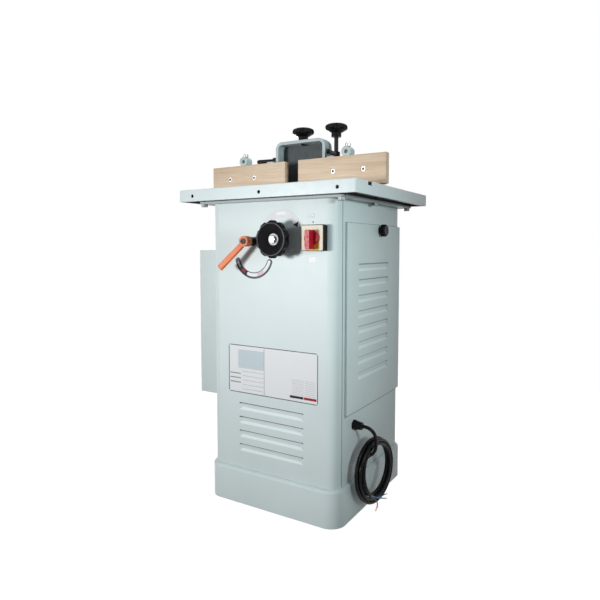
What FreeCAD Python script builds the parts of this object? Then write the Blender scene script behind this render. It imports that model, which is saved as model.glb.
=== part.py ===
import FreeCAD, Part
import math
import os
import Sketcher

# Spindle moulder on a folded steel cabinet. Millimetres, +Z up, the front faces -Y,
# and the origin is the middle of the plinth's underside.

SIZES = {
    # clearances
    "flat_gap": 0.2,
    "curve_gap": 0.3,
    "run_gap": 0.05,
    "bolt_gap": 0.3,
    # plinth
    "plinth_width": 395.0,
    "plinth_depth": 410.0,
    "plinth_height": 92.0,
    "plinth_corner": 40.0,
    "plinth_wall": 4.0,
    "plinth_round": 8.0,
    "plinth_flange": 40.0,
    "floor_bolt_inset": 23.0,
    "floor_bolt_radius": 6.0,
    # cabinet of folded sheet
    "sheet_steel": 2.0,
    "cabinet_width": 375.0,
    "cabinet_depth": 390.0,
    "cabinet_height": 687.0,
    "cabinet_corner": 26.0,
    "front_return": 28.0,
    "seam_gap": 2.5,
    "seam_lap": 14.0,
    # pressed louvres
    "louvre_drop": 19.5,
    "louvre_depth": 4.0,
    "louvre_taper": 9.0,
    "louvre_lip": 12.5,
    "front_louvre_length": 196.0,
    "front_louvre_rows": 4,
    "front_louvre_pitch": 36.3,
    "front_louvre_rise": 172.0,
    # access panel on the right side
    "access_front": 43.5,
    "access_length": 330.5,
    "access_rise": 169.0,
    "access_head": 54.5,
    "access_proud": 5.0,
    "access_margin": 18.0,
    "access_corner": 4.0,
    "access_louvre_length": 187.0,
    "access_louvre_front": 62.5,
    "access_louvre_rows": 8,
    "access_louvre_head": 98.4,
    "access_louvre_rise": 93.5,
    "access_knob_front": 191.5,
    "access_knob_drop": 13.5,
    "access_knob_radius": 16.5,
    "access_knob_length": 18.0,
    "access_stud_radius": 3.0,
    "stud_hole_gap": 1.0,
    "access_stud_length": 14.0,
    # cover box on the left side
    "cover_front": 74.0,
    "cover_length": 260.0,
    "cover_below": 90.0,
    "cover_above": 8.0,
    "cover_room": 6.5,
    "cover_corner": 8.0,
    "cover_lip": 14.0,
    "cover_screw_radius": 3.0,
    "cover_screw_head": 5.5,
    # top plate between the cabinet and the table
    "top_plate_width": 434.0,
    "top_plate_depth": 426.0,
    "top_plate_thick": 5.5,
    "top_plate_corner": 14.0,
    "top_opening_width": 300.0,
    "top_opening_depth": 320.0,
    "table_bolt_x": 203.0,
    "table_bolt_y": 203.0,
    "table_bolt_middle": 23.0,
    "table_bolt_radius": 5.0,
    "table_bolt_head": 9.0,
    "table_bolt_head_height": 7.0,
    "table_bolt_grip": 12.0,
    # cast table
    "table_width": 514.0,
    "table_depth": 457.0,
    "table_overhang": 45.0,
    "table_edge": 30.5,
    "table_plate": 14.0,
    "table_rim": 10.0,
    "table_corner": 3.0,
    "table_rib": 12.0,
    "table_boss": 13.0,
    "slot_width": 19.05,
    "slot_depth": 9.5,
    "slot_setback": 70.5,
    "slot_wall": 8.0,
    "edge_hole_radius": 4.25,
    "edge_hole_spacing": 211.5,
    "edge_hole_drop": 17.0,
    "opening_radius": 60.0,
    "rabbet_width": 6.0,
    "rabbet_depth": 6.0,
    "ring_bore": 46.0,
    "ring_rabbet_width": 4.0,
    "ring_rabbet_depth": 3.0,
    "small_ring_bore": 30.0,
    # spindle, quill and housing, on the spindle's axis
    "spindle_setback": 185.0,
    "spindle_sink": 5.0,
    "nose_radius": 9.525,
    "nose_length": 84.0,
    "shoulder_radius": 16.0,
    "shoulder_height": 8.0,
    "shoulder_gap": 3.0,
    "journal_radius": 12.45,
    "tail_radius": 11.0,
    "tail_length": 50.0,
    "collar_height": 12.0,
    "collar_radius": 15.0,
    "nut_radius": 16.0,
    "nut_height": 13.0,
    "quill_radius": 32.0,
    "quill_bore": 18.0,
    "quill_length": 315.0,
    "bearing_radius": 23.5,
    "bearing_width": 12.0,
    "lift_travel": 75.0,
    "housing_wall": 14.0,
    "housing_flange": 90.0,
    "housing_flange_thick": 12.0,
    "housing_seat": 8.0,
    "housing_length": 163.0,
    "housing_bolt_radius": 4.0,
    "housing_bolt_circle": 78.0,
    "housing_bolt_head": 7.5,
    "housing_bolt_head_height": 6.0,
    # rack and pinion that lift the quill
    "wheel_drop": 130.0,
    "pinion_offset": 37.0,
    "pinion_teeth": 12,
    "gear_module": 1.5,
    "gear_slack": 0.22,
    "pinion_width": 13.0,
    "rack_width": 14.0,
    "rack_back": 5.0,
    "shaft_radius": 6.0,
    "shaft_neck": 4.8,
    "shaft_neck_half": 16.0,
    "bush_radius": 11.0,
    "bush_length": 14.0,
    "pinion_boss_radius": 18.0,
    "pinion_boss_half": 45.0,
    # handwheel
    "wheel_radius": 45.0,
    "wheel_face_radius": 39.5,
    "wheel_rim": 18.0,
    "wheel_stand": 5.0,
    "wheel_hub_length": 28.0,
    "wheel_hub_radius": 15.0,
    "wheel_dish_radius": 37.0,
    "wheel_seat_radius": 15.5,
    "wheel_dish_depth": 15.0,
    "wheel_lobes": 10,
    "wheel_lobe_radius": 9.0,
    "wheel_lobe_depth": 4.5,
    "wheel_nut_radius": 8.5,
    "wheel_nut_height": 6.0,
    "wheel_washer_radius": 14.0,
    "wheel_washer_thick": 2.0,
    # lock lever
    "lock_offset": 50.0,
    "lock_drop": 134.0,
    "lock_bolt_radius": 5.0,
    "lock_spacer_radius": 11.0,
    "lock_spacer_length": 22.0,
    "lock_boss_radius": 13.0,
    "lock_boss_length": 19.0,
    "lock_arm_length": 100.0,
    "lock_arm_neck": 6.5,
    "lock_arm_end": 8.0,
    "lock_arm_half_thick": 5.0,
    "lock_arm_round": 2.5,
    "lock_arm_angle": 223.0,
    "lock_arm_lean": 7.0,
    "lock_screw_radius": 7.0,
    "lock_screw_height": 2.5,
    "lock_nut_radius": 9.0,
    "lock_nut_height": 8.0,
    "ear_half_width": 22.0,
    "ear_half_height": 20.0,
    "ear_edge": 16.0,
    "ear_slit": 3.0,
    # rotary switch
    "switch_inset": 54.5,
    "switch_drop": 127.0,
    "switch_width": 59.0,
    "switch_height": 61.0,
    "switch_thick": 18.0,
    "switch_corner": 4.0,
    "switch_plate_inset": 1.5,
    "switch_plate_thick": 2.0,
    "switch_knob_radius": 18.5,
    "switch_knob_base": 6.0,
    "switch_grip_width": 12.0,
    "switch_grip_height": 17.0,
    "switch_grip_tail": 26.5,
    "plug_inset": 64.5,
    "plug_drop": 75.0,
    "plug_radius": 5.0,
    "plug_height": 2.5,
    # motor on its bracket
    "motor_reach": 215.0,
    "motor_shift": 20.0,
    "motor_radius": 68.0,
    "motor_length": 133.0,
    "motor_cap": 30.0,
    "motor_fins": 18,
    "motor_fin_groove": 4.0,
    "motor_shaft_radius": 8.0,
    "motor_shaft_drop": 60.0,
    "motor_bolt_circle": 57.0,
    "motor_bolt_radius": 4.0,
    "motor_bolt_head": 7.5,
    "bracket_plate": 12.0,
    "bracket_ring": 46.0,
    "bracket_ring_height": 25.0,
    "bracket_pad": 76.0,
    "bracket_arm_width": 60.0,
    "bracket_shaft_hole": 30.0,
    # belt drive
    "spindle_pulley_radius": 26.0,
    "motor_pulley_radius": 56.0,
    "pulley_height": 30.0,
    "pulley_drop": 10.0,
    "groove_depth": 9.0,
    "groove_floor": 5.0,
    "groove_mouth": 11.6,
    "belt_depth": 6.0,
    "belt_sink": 1.0,
    "belt_side_gap": 0.4,
    # fence casting with its hood
    "fence_lead": 41.0,
    "hood_setback": 41.0,
    "hood_half_width": 77.0,
    "hood_depth": 37.0,
    "hood_height": 136.0,
    "hood_wall": 8.0,
    "hood_round": 20.0,
    "foot_half_width": 118.0,
    "foot_depth": 108.0,
    "foot_thick": 14.0,
    "foot_front": 5.0,
    "fence_bolt_x": 96.0,
    "fence_bolt_setback": 77.0,
    "fence_bolt_radius": 5.0,
    "fence_bolt_head": 9.0,
    "fence_bolt_head_height": 7.0,
    "fence_forward": 10.0,
    "fence_back": 30.0,
    # fence carriers and boards
    "board_length": 245.0,
    "board_height": 73.0,
    "board_thick": 18.0,
    "board_lift": 3.0,
    "board_half_gap": 20.0,
    "board_round": 1.5,
    "board_screw_inner": 121.7,
    "board_screw_outer": 204.9,
    "board_screw_rise": 37.4,
    "board_screw_radius": 2.8,
    "board_screw_head": 6.5,
    "board_screw_head_height": 3.0,
    "board_nut_radius": 5.0,
    "board_nut_height": 5.0,
    "board_out": 30.0,
    "board_in": 3.0,
    "carrier_plate": 10.0,
    "carrier_inner": 78.0,
    "carrier_outer": 256.0,
    "carrier_height": 68.0,
    "carrier_forward": 4.0,
    "carrier_back": 6.0,
    "tower_half_width": 10.0,
    "tower_depth": 58.0,
    "tower_height": 84.0,
    "stud_setback": 19.0,
    "stud_radius": 5.5,
    "left_stud_x": 88.0,
    "right_stud_x": 100.0,
    "left_boss_x": 171.0,
    "right_boss_x": 149.0,
    "boss_radius": 13.0,
    "boss_length": 24.0,
    "boss_bore": 5.0,
    "boss_rise": 90.0,
    "boss_neck": 9.0,
    "boss_root": 15.0,
    "boss_screw_radius": 3.0,
    "boss_screw_head": 7.0,
    "boss_screw_head_height": 9.0,
    "clamp_hub_radius": 10.0,
    "clamp_hub_height": 14.0,
    "clamp_arm_length": 56.0,
    "clamp_arm_neck": 5.5,
    "clamp_arm_end": 6.3,
    "left_clamp_angle": 184.0,
    "right_clamp_angle": 277.0,
    # star knobs
    "star_radius": 29.0,
    "star_height": 23.0,
    "star_neck": 10.0,
    "star_hub": 13.0,
    "star_lobes": 6,
    "star_lobe_radius": 11.0,
    "star_lobe_depth": 4.5,
    "star_socket": 12.0,
    "infeed_knob_rise": 137.0,
    "hood_stud_length": 12.0,
    # mains lead
    "gland_front": 92.4,
    "gland_rise": 135.0,
    "gland_nut_radius": 13.0,
    "gland_nut_length": 8.0,
    "gland_dome_length": 16.0,
    "gland_end_radius": 9.0,
    "gland_shank_radius": 8.0,
    "gland_lock_radius": 12.0,
    "gland_lock_length": 5.0,
    "cord_radius": 4.25,
    "coil_radius": 82.0,
    "coil_pitch": 9.2,
    "coil_turns": 4.21,
    "coil_dip": 16.0,
    "coil_out": 38.5,
    "coil_back": 42.6,
    "coil_drop": 121.0,
    "core_radius": 1.4,
}

DOC = FreeCAD.newDocument("spindle_moulder")
SHEET = DOC.addObject("Spreadsheet::Sheet", "sizes")
NODES = []
Vector = FreeCAD.Vector


def fill_sheet():
    for row, (alias, value) in enumerate(SIZES.items(), start=1):
        SHEET.set("A%d" % row, alias)
        SHEET.set("B%d" % row, str(value))
        SHEET.setAlias("B%d" % row, alias)
    DOC.recompute()


class Dim:
    """A size in millimetres that keeps the sheet formula it comes from."""

    def __init__(self, value, text):
        self.value = float(value)
        self.text = text

    def joined(self, other, sign, value):
        return Dim(value, "(%s %s %s)" % (self.text, sign, other.text))

    def __add__(self, other):
        other = dim(other)
        return self.joined(other, "+", self.value + other.value)

    def __sub__(self, other):
        other = dim(other)
        return self.joined(other, "-", self.value - other.value)

    def __mul__(self, other):
        other = dim(other)
        return self.joined(other, "*", self.value * other.value)

    def __truediv__(self, other):
        other = dim(other)
        return self.joined(other, "/", self.value / other.value)

    def __radd__(self, other):
        return dim(other) + self

    def __rsub__(self, other):
        return dim(other) - self

    def __rmul__(self, other):
        return dim(other) * self

    def __neg__(self):
        return dim(0) - self

    def __float__(self):
        return self.value


def dim(amount):
    if isinstance(amount, Dim):
        return amount
    return Dim(amount, repr(float(amount)))


class Sizes:
    """Gives each cell of the sheet by its alias."""

    def __getattr__(self, alias):
        return Dim(SHEET.get(alias), "sizes." + alias)


S = Sizes()

TURNS = {
    "Z": FreeCAD.Rotation(),
    "-Z": FreeCAD.Rotation(Vector(1, 0, 0), 180),
    "X": FreeCAD.Rotation(Vector(0, 1, 0), 90),
    "-X": FreeCAD.Rotation(Vector(0, 1, 0), -90),
    "Y": FreeCAD.Rotation(Vector(1, 0, 0), -90),
    "-Y": FreeCAD.Rotation(Vector(1, 0, 0), 90),
}


def bind(obj, prop, amount):
    obj.setExpression(prop, dim(amount).text)


def place(obj, at, turn):
    obj.Placement = FreeCAD.Placement(Vector(), turn)
    for letter, amount in zip("xyz", at):
        bind(obj, "Placement.Base." + letter, amount)
    return obj


def along(at, axis, amount):
    """The point that lies a distance away from another along an axis such as "Z" or "-Y"."""
    moved = [dim(coordinate) for coordinate in at]
    index = "XYZ".index(axis[-1])
    moved[index] = moved[index] - amount if axis[0] == "-" else moved[index] + amount
    return moved


def point(at):
    return Vector(*[float(coordinate) for coordinate in at])


def node(obj):
    """Marks a finished sub-part: its label names its file."""
    obj.Label = obj.Name
    NODES.append(obj)
    return obj


# Primitives and booleans

def box(name, size, corner):
    obj = DOC.addObject("Part::Box", name)
    for prop, amount in zip(("Length", "Width", "Height"), size):
        bind(obj, prop, amount)
    return place(obj, corner, TURNS["Z"])


def slab(name, size, at):
    """A box centred on a point in X and Y, standing on its Z."""
    width, depth, height = size
    x, y, z = at
    return box(name, (width, depth, height), (x - width / 2, y - depth / 2, z))


def rod(name, radius, length, at, axis="Z"):
    obj = DOC.addObject("Part::Cylinder", name)
    bind(obj, "Radius", radius)
    bind(obj, "Height", length)
    return place(obj, at, TURNS[axis])


def hexagon(name, radius, length, at, axis="Z"):
    obj = DOC.addObject("Part::Prism", name)
    obj.Polygon = 6
    bind(obj, "Circumradius", radius)
    bind(obj, "Height", length)
    return place(obj, at, TURNS[axis])


def taper(name, radius, end_radius, length, at, axis="Z", turn=None):
    obj = DOC.addObject("Part::Cone", name)
    bind(obj, "Radius1", radius)
    bind(obj, "Radius2", end_radius)
    bind(obj, "Height", length)
    return place(obj, at, turn or TURNS[axis])


def ball(name, radius, at, turn):
    obj = DOC.addObject("Part::Sphere", name)
    bind(obj, "Radius", radius)
    return place(obj, at, turn)


def fuse(name, *pieces):
    obj = DOC.addObject("Part::MultiFuse", name)
    obj.Shapes = list(pieces)
    obj.Refine = True
    return obj


def cut(name, base, *tools):
    obj = DOC.addObject("Part::Cut", name)
    obj.Base = base
    obj.Tool = tools[0] if len(tools) == 1 else fuse(name + "_tools", *tools)
    obj.Refine = True
    return obj


def common(name, first, second):
    obj = DOC.addObject("Part::Common", name)
    obj.Base = first
    obj.Tool = second
    obj.Refine = True
    return obj


def group(name, pieces):
    obj = DOC.addObject("Part::Compound", name)
    obj.Links = list(pieces)
    return obj


def fillet(name, base, radius, chosen):
    """Rounds the edges that a test picks."""
    DOC.recompute()
    obj = DOC.addObject("Part::Fillet", name)
    obj.Base = base
    size = float(radius)
    obj.Edges = [(i, size, size) for i, edge in enumerate(base.Shape.Edges, start=1) if chosen(edge)]
    return obj


def runs_along(axis):
    """A test for straight edges along an axis."""
    way = TURNS[axis].multVec(Vector(0, 0, 1))

    def test(edge):
        span = edge.Vertexes[-1].Point - edge.Vertexes[0].Point
        return span.Length > 0 and abs(span.normalize() * way) > 0.999
    return test


def at_height(height):
    """A test for edges that lie at one height."""
    level = float(height)
    return lambda edge: all(abs(corner.Z - level) < 1e-6 for corner in edge.Vertexes)


def rounded_slab(name, size, at, radius):
    return fillet(name, slab(name + "_block", size, at), radius, runs_along("Z"))


def tube(name, radius, bore, length, at, axis="Z"):
    solid = rod(name + "_rod", radius, length, at, axis)
    return cut(name, solid, rod(name + "_bore", bore, length, at, axis))


def slot(name, radius, height, start, end):
    """A round-ended upright slot cutter between two points at the same height."""
    mid = [(dim(a) + b) / 2 for a, b in zip(start, end)]
    wide = [dim(b) - a for a, b in zip(start, end)]
    lengthwise = abs(float(wide[0])) > abs(float(wide[1]))
    size = (wide[0], 2 * radius, height) if lengthwise else (2 * radius, wide[1], height)
    ends = [rod("%s_end_%d" % (name, i), radius, height, at) for i, at in enumerate((start, end))]
    return fuse(name, slab(name + "_middle", size, mid), *ends)


def hex_bolt(name, at, axis, radius, length, head_radius, head_height):
    """A bolt whose head seats at a point and whose shank runs along an axis."""
    head = hexagon(name + "_head", head_radius, head_height, along(at, axis, -head_height), axis)
    shank = rod(name + "_shank", radius, length, at, axis)
    return fuse(name, head, shank)


# Sketched bodies

def origin_plane(body, role):
    return next(feature for feature in body.Origin.OriginFeatures if feature.Role == role)


def new_sketch(body, name, role):
    sketch = body.newObject("Sketcher::SketchObject", name)
    sketch.AttachmentSupport = [(origin_plane(body, role), "")]
    sketch.MapMode = "FlatFace"
    return sketch


def pin_point(sketch, index, offset, kind, axis):
    """Holds a line's start at a distance from the sketch's origin."""
    offset = dim(offset)
    if abs(offset.value) < 1e-9:
        sketch.addConstraint(Sketcher.Constraint("PointOnObject", index, 1, axis))
        return
    ends = (-1, 1, index, 1) if offset.value > 0 else (index, 1, -1, 1)
    signed = offset if offset.value > 0 else -offset
    number = sketch.addConstraint(Sketcher.Constraint(kind, *ends, signed.value))
    sketch.setExpression("Constraints[%d]" % number, signed.text)


def draw_polygon(sketch, corners):
    """Draws a closed outline whose corners are tied to the sheet."""
    points = [Vector(float(x), float(y), 0) for x, y in corners]
    count = len(points)
    for i in range(count):
        sketch.addGeometry(Part.LineSegment(points[i], points[(i + 1) % count]), False)
    for i in range(count):
        sketch.addConstraint(Sketcher.Constraint("Coincident", i, 2, (i + 1) % count, 1))
    for i, (x, y) in enumerate(corners):
        pin_point(sketch, i, x, "DistanceX", -2)
        pin_point(sketch, i, y, "DistanceY", -1)


def revolved(name, outline, at, axis="Z", spin=0.0):
    """A turned body: the outline's (radius, height) corners go round its own Z axis."""
    body = DOC.addObject("PartDesign::Body", name)
    sketch = new_sketch(body, name + "_outline", "XZ_Plane")
    draw_polygon(sketch, outline)
    turn = body.newObject("PartDesign::Revolution", name + "_turn")
    turn.Profile = sketch
    turn.ReferenceAxis = (sketch, ["V_Axis"])
    turn.Angle = 360
    place(body, at, TURNS[axis] * FreeCAD.Rotation(Vector(0, 0, 1), spin))
    return body


def polar(body, name, feature, sketch, count):
    """Repeats a feature round the body's Z axis."""
    pattern = body.newObject("PartDesign::PolarPattern", name)
    pattern.Originals = [feature]
    pattern.Axis = (sketch, ["N_Axis"])
    pattern.Angle = 360
    pattern.Occurrences = round(float(count))
    body.Tip = pattern


def scallop(body, name, rim_radius, radius, depth, count):
    """Cuts round finger hollows into the rim of a turned body."""
    sketch = new_sketch(body, name + "_circle", "XY_Plane")
    reach = rim_radius + radius - depth
    sketch.addGeometry(Part.Circle(Vector(reach.value, 0, 0), Vector(0, 0, 1), radius.value), False)
    sketch.addConstraint(Sketcher.Constraint("PointOnObject", 0, 3, -1))
    across = sketch.addConstraint(Sketcher.Constraint("DistanceX", -1, 1, 0, 3, reach.value))
    sketch.setExpression("Constraints[%d]" % across, reach.text)
    size = sketch.addConstraint(Sketcher.Constraint("Radius", 0, radius.value))
    sketch.setExpression("Constraints[%d]" % size, radius.text)
    pocket = body.newObject("PartDesign::Pocket", name + "_pocket")
    pocket.Profile = sketch
    pocket.Type = "ThroughAll"
    pocket.SideType = "Symmetric"
    polar(body, name, pocket, sketch, count)


def lobed_knob(name, radius, hub, neck, height, bore, socket, lobes, at, axis="Z"):
    """A star knob: a neck, a lobed and crowned grip above it and a blind bore from below."""
    edge = height / 10
    shoulder, top = neck + height * 0.35, neck + height
    outline = [(bore, dim(0)), (hub, dim(0)), (hub, neck), (radius - edge, shoulder),
               (radius, shoulder + edge), (radius, top - 3 * edge), (radius - edge, top - 1.5 * edge),
               (radius * 0.75, top - edge / 2), (radius * 0.4, top), (dim(0), top), (dim(0), socket),
               (bore, socket)]
    body = revolved(name, outline, at, axis)
    scallop(body, name + "_lobes", radius, lobes[0], lobes[1], lobes[2])
    return body


# Levels and planes that several sub-parts share

fill_sheet()
CABINET_BASE = S.plinth_height
CABINET_TOP = CABINET_BASE + S.cabinet_height
PLATE_TOP = CABINET_TOP + S.top_plate_thick
TABLE_TOP = PLATE_TOP + S.table_edge
TABLE_UNDER = TABLE_TOP - S.table_plate
SIDE = S.cabinet_width / 2
PANEL_FRONT = -S.cabinet_depth / 2
TABLE_FRONT = PANEL_FRONT - S.table_overhang
SPINDLE_Y = TABLE_FRONT + S.spindle_setback
HOUSING_TOP = TABLE_UNDER - S.housing_seat
SHAFT_Z = TABLE_TOP - S.wheel_drop
LOCK_Z = TABLE_TOP - S.lock_drop
SHOULDER_TOP = TABLE_TOP - S.spindle_sink - S.nose_length
QUILL_TOP = SHOULDER_TOP - S.shoulder_height - S.shoulder_gap
QUILL_BASE = QUILL_TOP - S.quill_length
PULLEY_TOP = QUILL_BASE - S.pulley_drop
PULLEY_BASE = PULLEY_TOP - S.pulley_height
BELT_Z = PULLEY_BASE + S.pulley_height / 2
MOTOR_X = -S.motor_reach
MOTOR_Y = SPINDLE_Y + S.motor_shift
FENCE_Y = SPINDLE_Y - S.fence_lead
BOARD_BACK = FENCE_Y + S.board_thick
CARRIER_FRONT = BOARD_BACK + S.flat_gap
CARRIER_BACK = CARRIER_FRONT + S.carrier_plate
HOOD_FRONT = FENCE_Y + S.hood_setback
HOOD_BACK = HOOD_FRONT + S.hood_depth
STUD_Y = HOOD_FRONT + S.stud_setback
FENCE_BASE = TABLE_TOP + S.flat_gap
FOOT_TOP = FENCE_BASE + S.foot_thick
HOOD_TOP = FENCE_BASE + S.hood_height
TOWER_TOP = TABLE_TOP + S.tower_height
BOARD_BASE = TABLE_TOP + S.board_lift
BOSS_Z = TABLE_TOP + S.boss_rise


# Plinth and cabinet

def make_plinth():
    wide, deep, high, wall = S.plinth_width, S.plinth_depth, S.plinth_height, S.plinth_wall
    block = rounded_slab("plinth_block", (wide, deep, high), (0, 0, 0), S.plinth_corner)
    rounded = fillet("plinth_rounded", block, S.plinth_round, at_height(high))
    cavity = rounded_slab("plinth_cavity", (wide - 2 * wall, deep - 2 * wall, high - 2 * wall),
                          (0, 0, wall), S.plinth_corner - wall)
    opening = (wide - 2 * S.plinth_flange, deep - 2 * S.plinth_flange, high + 2 * wall)
    well = slab("plinth_well", opening, (0, 0, -wall))
    x = wide / 2 - S.floor_bolt_inset
    y = deep / 2 - S.floor_bolt_inset
    holes = [rod("plinth_hole_%d" % i, S.floor_bolt_radius, 3 * wall, (sx * x, sy * y, -wall))
             for i, (sx, sy) in enumerate(((-1, -1), (1, -1), (1, 1), (-1, 1)))]
    node(cut("plinth", rounded, cavity, well, *holes))


def scoop(name, length, skin, at, turn):
    """A louvre's wedge, deepest at its top edge and grown by a skin on its other sides."""
    obj = DOC.addObject("Part::Wedge", name)
    half = length / 2 + skin
    inner_half = half - S.louvre_taper
    bounds = {"Xmin": -half, "Xmax": half, "X2min": -inner_half, "X2max": inner_half,
              "Ymin": dim(0), "Ymax": S.louvre_depth + skin,
              "Zmin": -S.louvre_drop - skin, "Zmax": dim(0), "Z2min": -S.louvre_lip - skin, "Z2max": dim(0)}
    for prop, amount in bounds.items():
        bind(obj, prop, amount)
    return place(obj, at, turn)


def louvred(name, sheet, length, spots, turn):
    """Presses louvres into a sheet: each dips inwards, and is cut open along its top edge."""
    backs = [scoop("%s_back_%d" % (name, i), length, S.sheet_steel, at, turn) for i, at in enumerate(spots)]
    dips = [scoop("%s_dip_%d" % (name, i), length, dim(0), at, turn) for i, at in enumerate(spots)]
    return cut(name, fuse(name + "_pressed", sheet, *backs), *dips)


def cabinet_tube():
    wide, deep, high, sheet = S.cabinet_width, S.cabinet_depth, S.cabinet_height, S.sheet_steel
    outer = rounded_slab("cabinet_outer", (wide, deep, high), (0, 0, CABINET_BASE), S.cabinet_corner)
    inner = rounded_slab("cabinet_inner", (wide - 2 * sheet, deep - 2 * sheet, high),
                         (0, 0, CABINET_BASE), S.cabinet_corner - sheet)
    return cut("cabinet_tube", outer, inner)


def make_front_panel(shell):
    reach = S.front_return
    wide = S.cabinet_width
    keep = box("front_keep", (wide, reach, S.cabinet_height), (-wide / 2, PANEL_FRONT, CABINET_BASE))
    wrap = common("front_wrap", shell, keep)
    depth = 3 * S.sheet_steel
    start = PANEL_FRONT - S.sheet_steel
    shaft = rod("front_shaft_hole", S.shaft_radius + 2, depth, (S.pinion_offset, start, SHAFT_Z), "Y")
    lock = rod("front_lock_hole", S.lock_bolt_radius + 1, depth, (-S.lock_offset, start, LOCK_Z), "Y")
    plain = cut("front_drilled", wrap, shaft, lock)
    rows = round(float(S.front_louvre_rows))
    top = CABINET_BASE + S.front_louvre_rise
    spots = [(0, PANEL_FRONT, top - i * S.front_louvre_pitch) for i in range(rows)]
    node(louvred("front_panel", plain, S.front_louvre_length, spots, TURNS["Z"]))


def access_span():
    """Front edge and foot of the access panel."""
    return PANEL_FRONT + S.access_front, CABINET_BASE + S.access_rise


def access_height():
    return S.cabinet_height - S.access_rise - S.access_head


def access_stud():
    """Where the access panel's knob stands: its Y and Z."""
    head = CABINET_TOP - S.access_head
    return PANEL_FRONT + S.access_front + S.access_knob_front, head - S.access_knob_drop


def cover_opening(name):
    """The opening in the left side that the motor rises and falls through."""
    room = S.bracket_pad + 4
    low = PULLEY_BASE - 8
    high = QUILL_BASE + S.bracket_plate + S.motor_length + S.motor_cap + S.lift_travel + 4
    return box(name, (3 * S.sheet_steel, 2 * room, high - low),
               (-SIDE - S.sheet_steel, MOTOR_Y - room, low))


def cover_span():
    """Reach, foot and height of the cover, all taken from the motor that moves inside it."""
    reach = S.motor_reach + S.bracket_pad + S.cover_room + S.sheet_steel - SIDE
    base = QUILL_BASE - S.motor_shaft_drop - S.cover_below
    top = QUILL_BASE + S.bracket_plate + S.motor_length + S.motor_cap + S.lift_travel + S.cover_above
    return reach, base, top - base


def cover_screw_spots():
    """Heights and depths of the cover's four screws, on its lips."""
    front = PANEL_FRONT + S.cover_front
    base, height = cover_span()[1:]
    half_lip = S.cover_lip / 2
    ys = (front - half_lip, front + S.cover_length + half_lip)
    zs = (base + 3 * S.cover_lip, base + height - 3 * S.cover_lip)
    return [(y, z) for y in ys for z in zs]


def make_cabinet_shell(shell):
    sheet, high = S.sheet_steel, S.cabinet_height
    seam = PANEL_FRONT + S.front_return + S.seam_gap
    keep = box("shell_keep", (S.cabinet_width, S.cabinet_depth, high), (-SIDE, seam, CABINET_BASE))
    wrap = common("shell_wrap", shell, keep)
    lap_front = PANEL_FRONT + S.cabinet_corner
    lap = (sheet, seam + S.seam_lap - lap_front, high)
    strips = [box("shell_strip_left", lap, (-SIDE + sheet, lap_front, CABINET_BASE)),
              box("shell_strip_right", lap, (SIDE - 2 * sheet, lap_front, CABINET_BASE))]
    joined = fuse("shell_joined", wrap, *strips)
    front, foot = access_span()
    margin = S.access_margin
    doorway = box("shell_doorway", (4 * sheet, S.access_length - 2 * margin, access_height() - 2 * margin),
                  (SIDE - 3 * sheet, front + margin, foot + margin))
    knob_y, knob_z = access_stud()
    stud_hole = rod("shell_stud_hole", S.access_stud_radius + S.stud_hole_gap, 3 * sheet,
                    (SIDE - 2 * sheet, knob_y, knob_z), "X")
    gland_hole = rod("shell_gland_hole", S.gland_shank_radius + S.bolt_gap, 3 * sheet,
                     along(gland_seat(), "-X", 2 * sheet), "X")
    screw_holes = [rod("shell_screw_hole_%d" % i, S.cover_screw_radius + S.bolt_gap, 3 * sheet,
                       (-SIDE - sheet, y, z), "X") for i, (y, z) in enumerate(cover_screw_spots())]
    node(cut("cabinet_shell", joined, doorway, cover_opening("shell_motor_opening"), stud_hole, gland_hole,
             *screw_holes))


def make_access_panel():
    sheet = S.sheet_steel
    front, foot = access_span()
    length, height = S.access_length, access_height()
    start = SIDE + S.flat_gap
    proud = S.access_proud - S.flat_gap
    block = fillet("access_block", box("access_tray", (proud, length, height), (start, front, foot)),
                   S.access_corner, runs_along("X"))
    hollow = box("access_hollow", (proud - sheet, length - 2 * sheet, height - 2 * sheet),
                 (start, front + sheet, foot + sheet))
    knob_y, knob_z = access_stud()
    hole = rod("access_knob_hole", S.access_stud_radius + S.run_gap, 3 * sheet, (SIDE, knob_y, knob_z), "X")
    tray = cut("access_shell", block, hollow, hole)
    rows = round(float(S.access_louvre_rows))
    middle = front + S.access_louvre_front + S.access_louvre_length / 2
    first = foot + S.access_louvre_rise
    pitch = (height - S.access_louvre_rise - S.access_louvre_head) / max(rows - 1, 1)
    spots = [(SIDE + S.access_proud, middle, first + i * pitch) for i in range(rows)]
    inward = FreeCAD.Rotation(Vector(0, 0, 1), 90)
    node(louvred("access_panel", tray, S.access_louvre_length, spots, inward))


def make_access_knob():
    knob_y, knob_z = access_stud()
    seat = SIDE + S.access_proud + S.curve_gap
    radius, length = S.access_knob_radius, S.access_knob_length
    edge = length / 6
    outline = [(dim(0), -S.access_stud_length), (S.access_stud_radius, -S.access_stud_length),
               (S.access_stud_radius, dim(0)), (radius / 2, dim(0)), (radius / 2, edge), (radius, 2 * edge),
               (radius, length - edge), (radius - edge, length), (dim(0), length)]
    body = revolved("access_knob", outline, (seat, knob_y, knob_z), "X")
    scallop(body, "access_knob_lobes", radius, radius / 3, radius / 8, dim(8))
    node(body)


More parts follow.
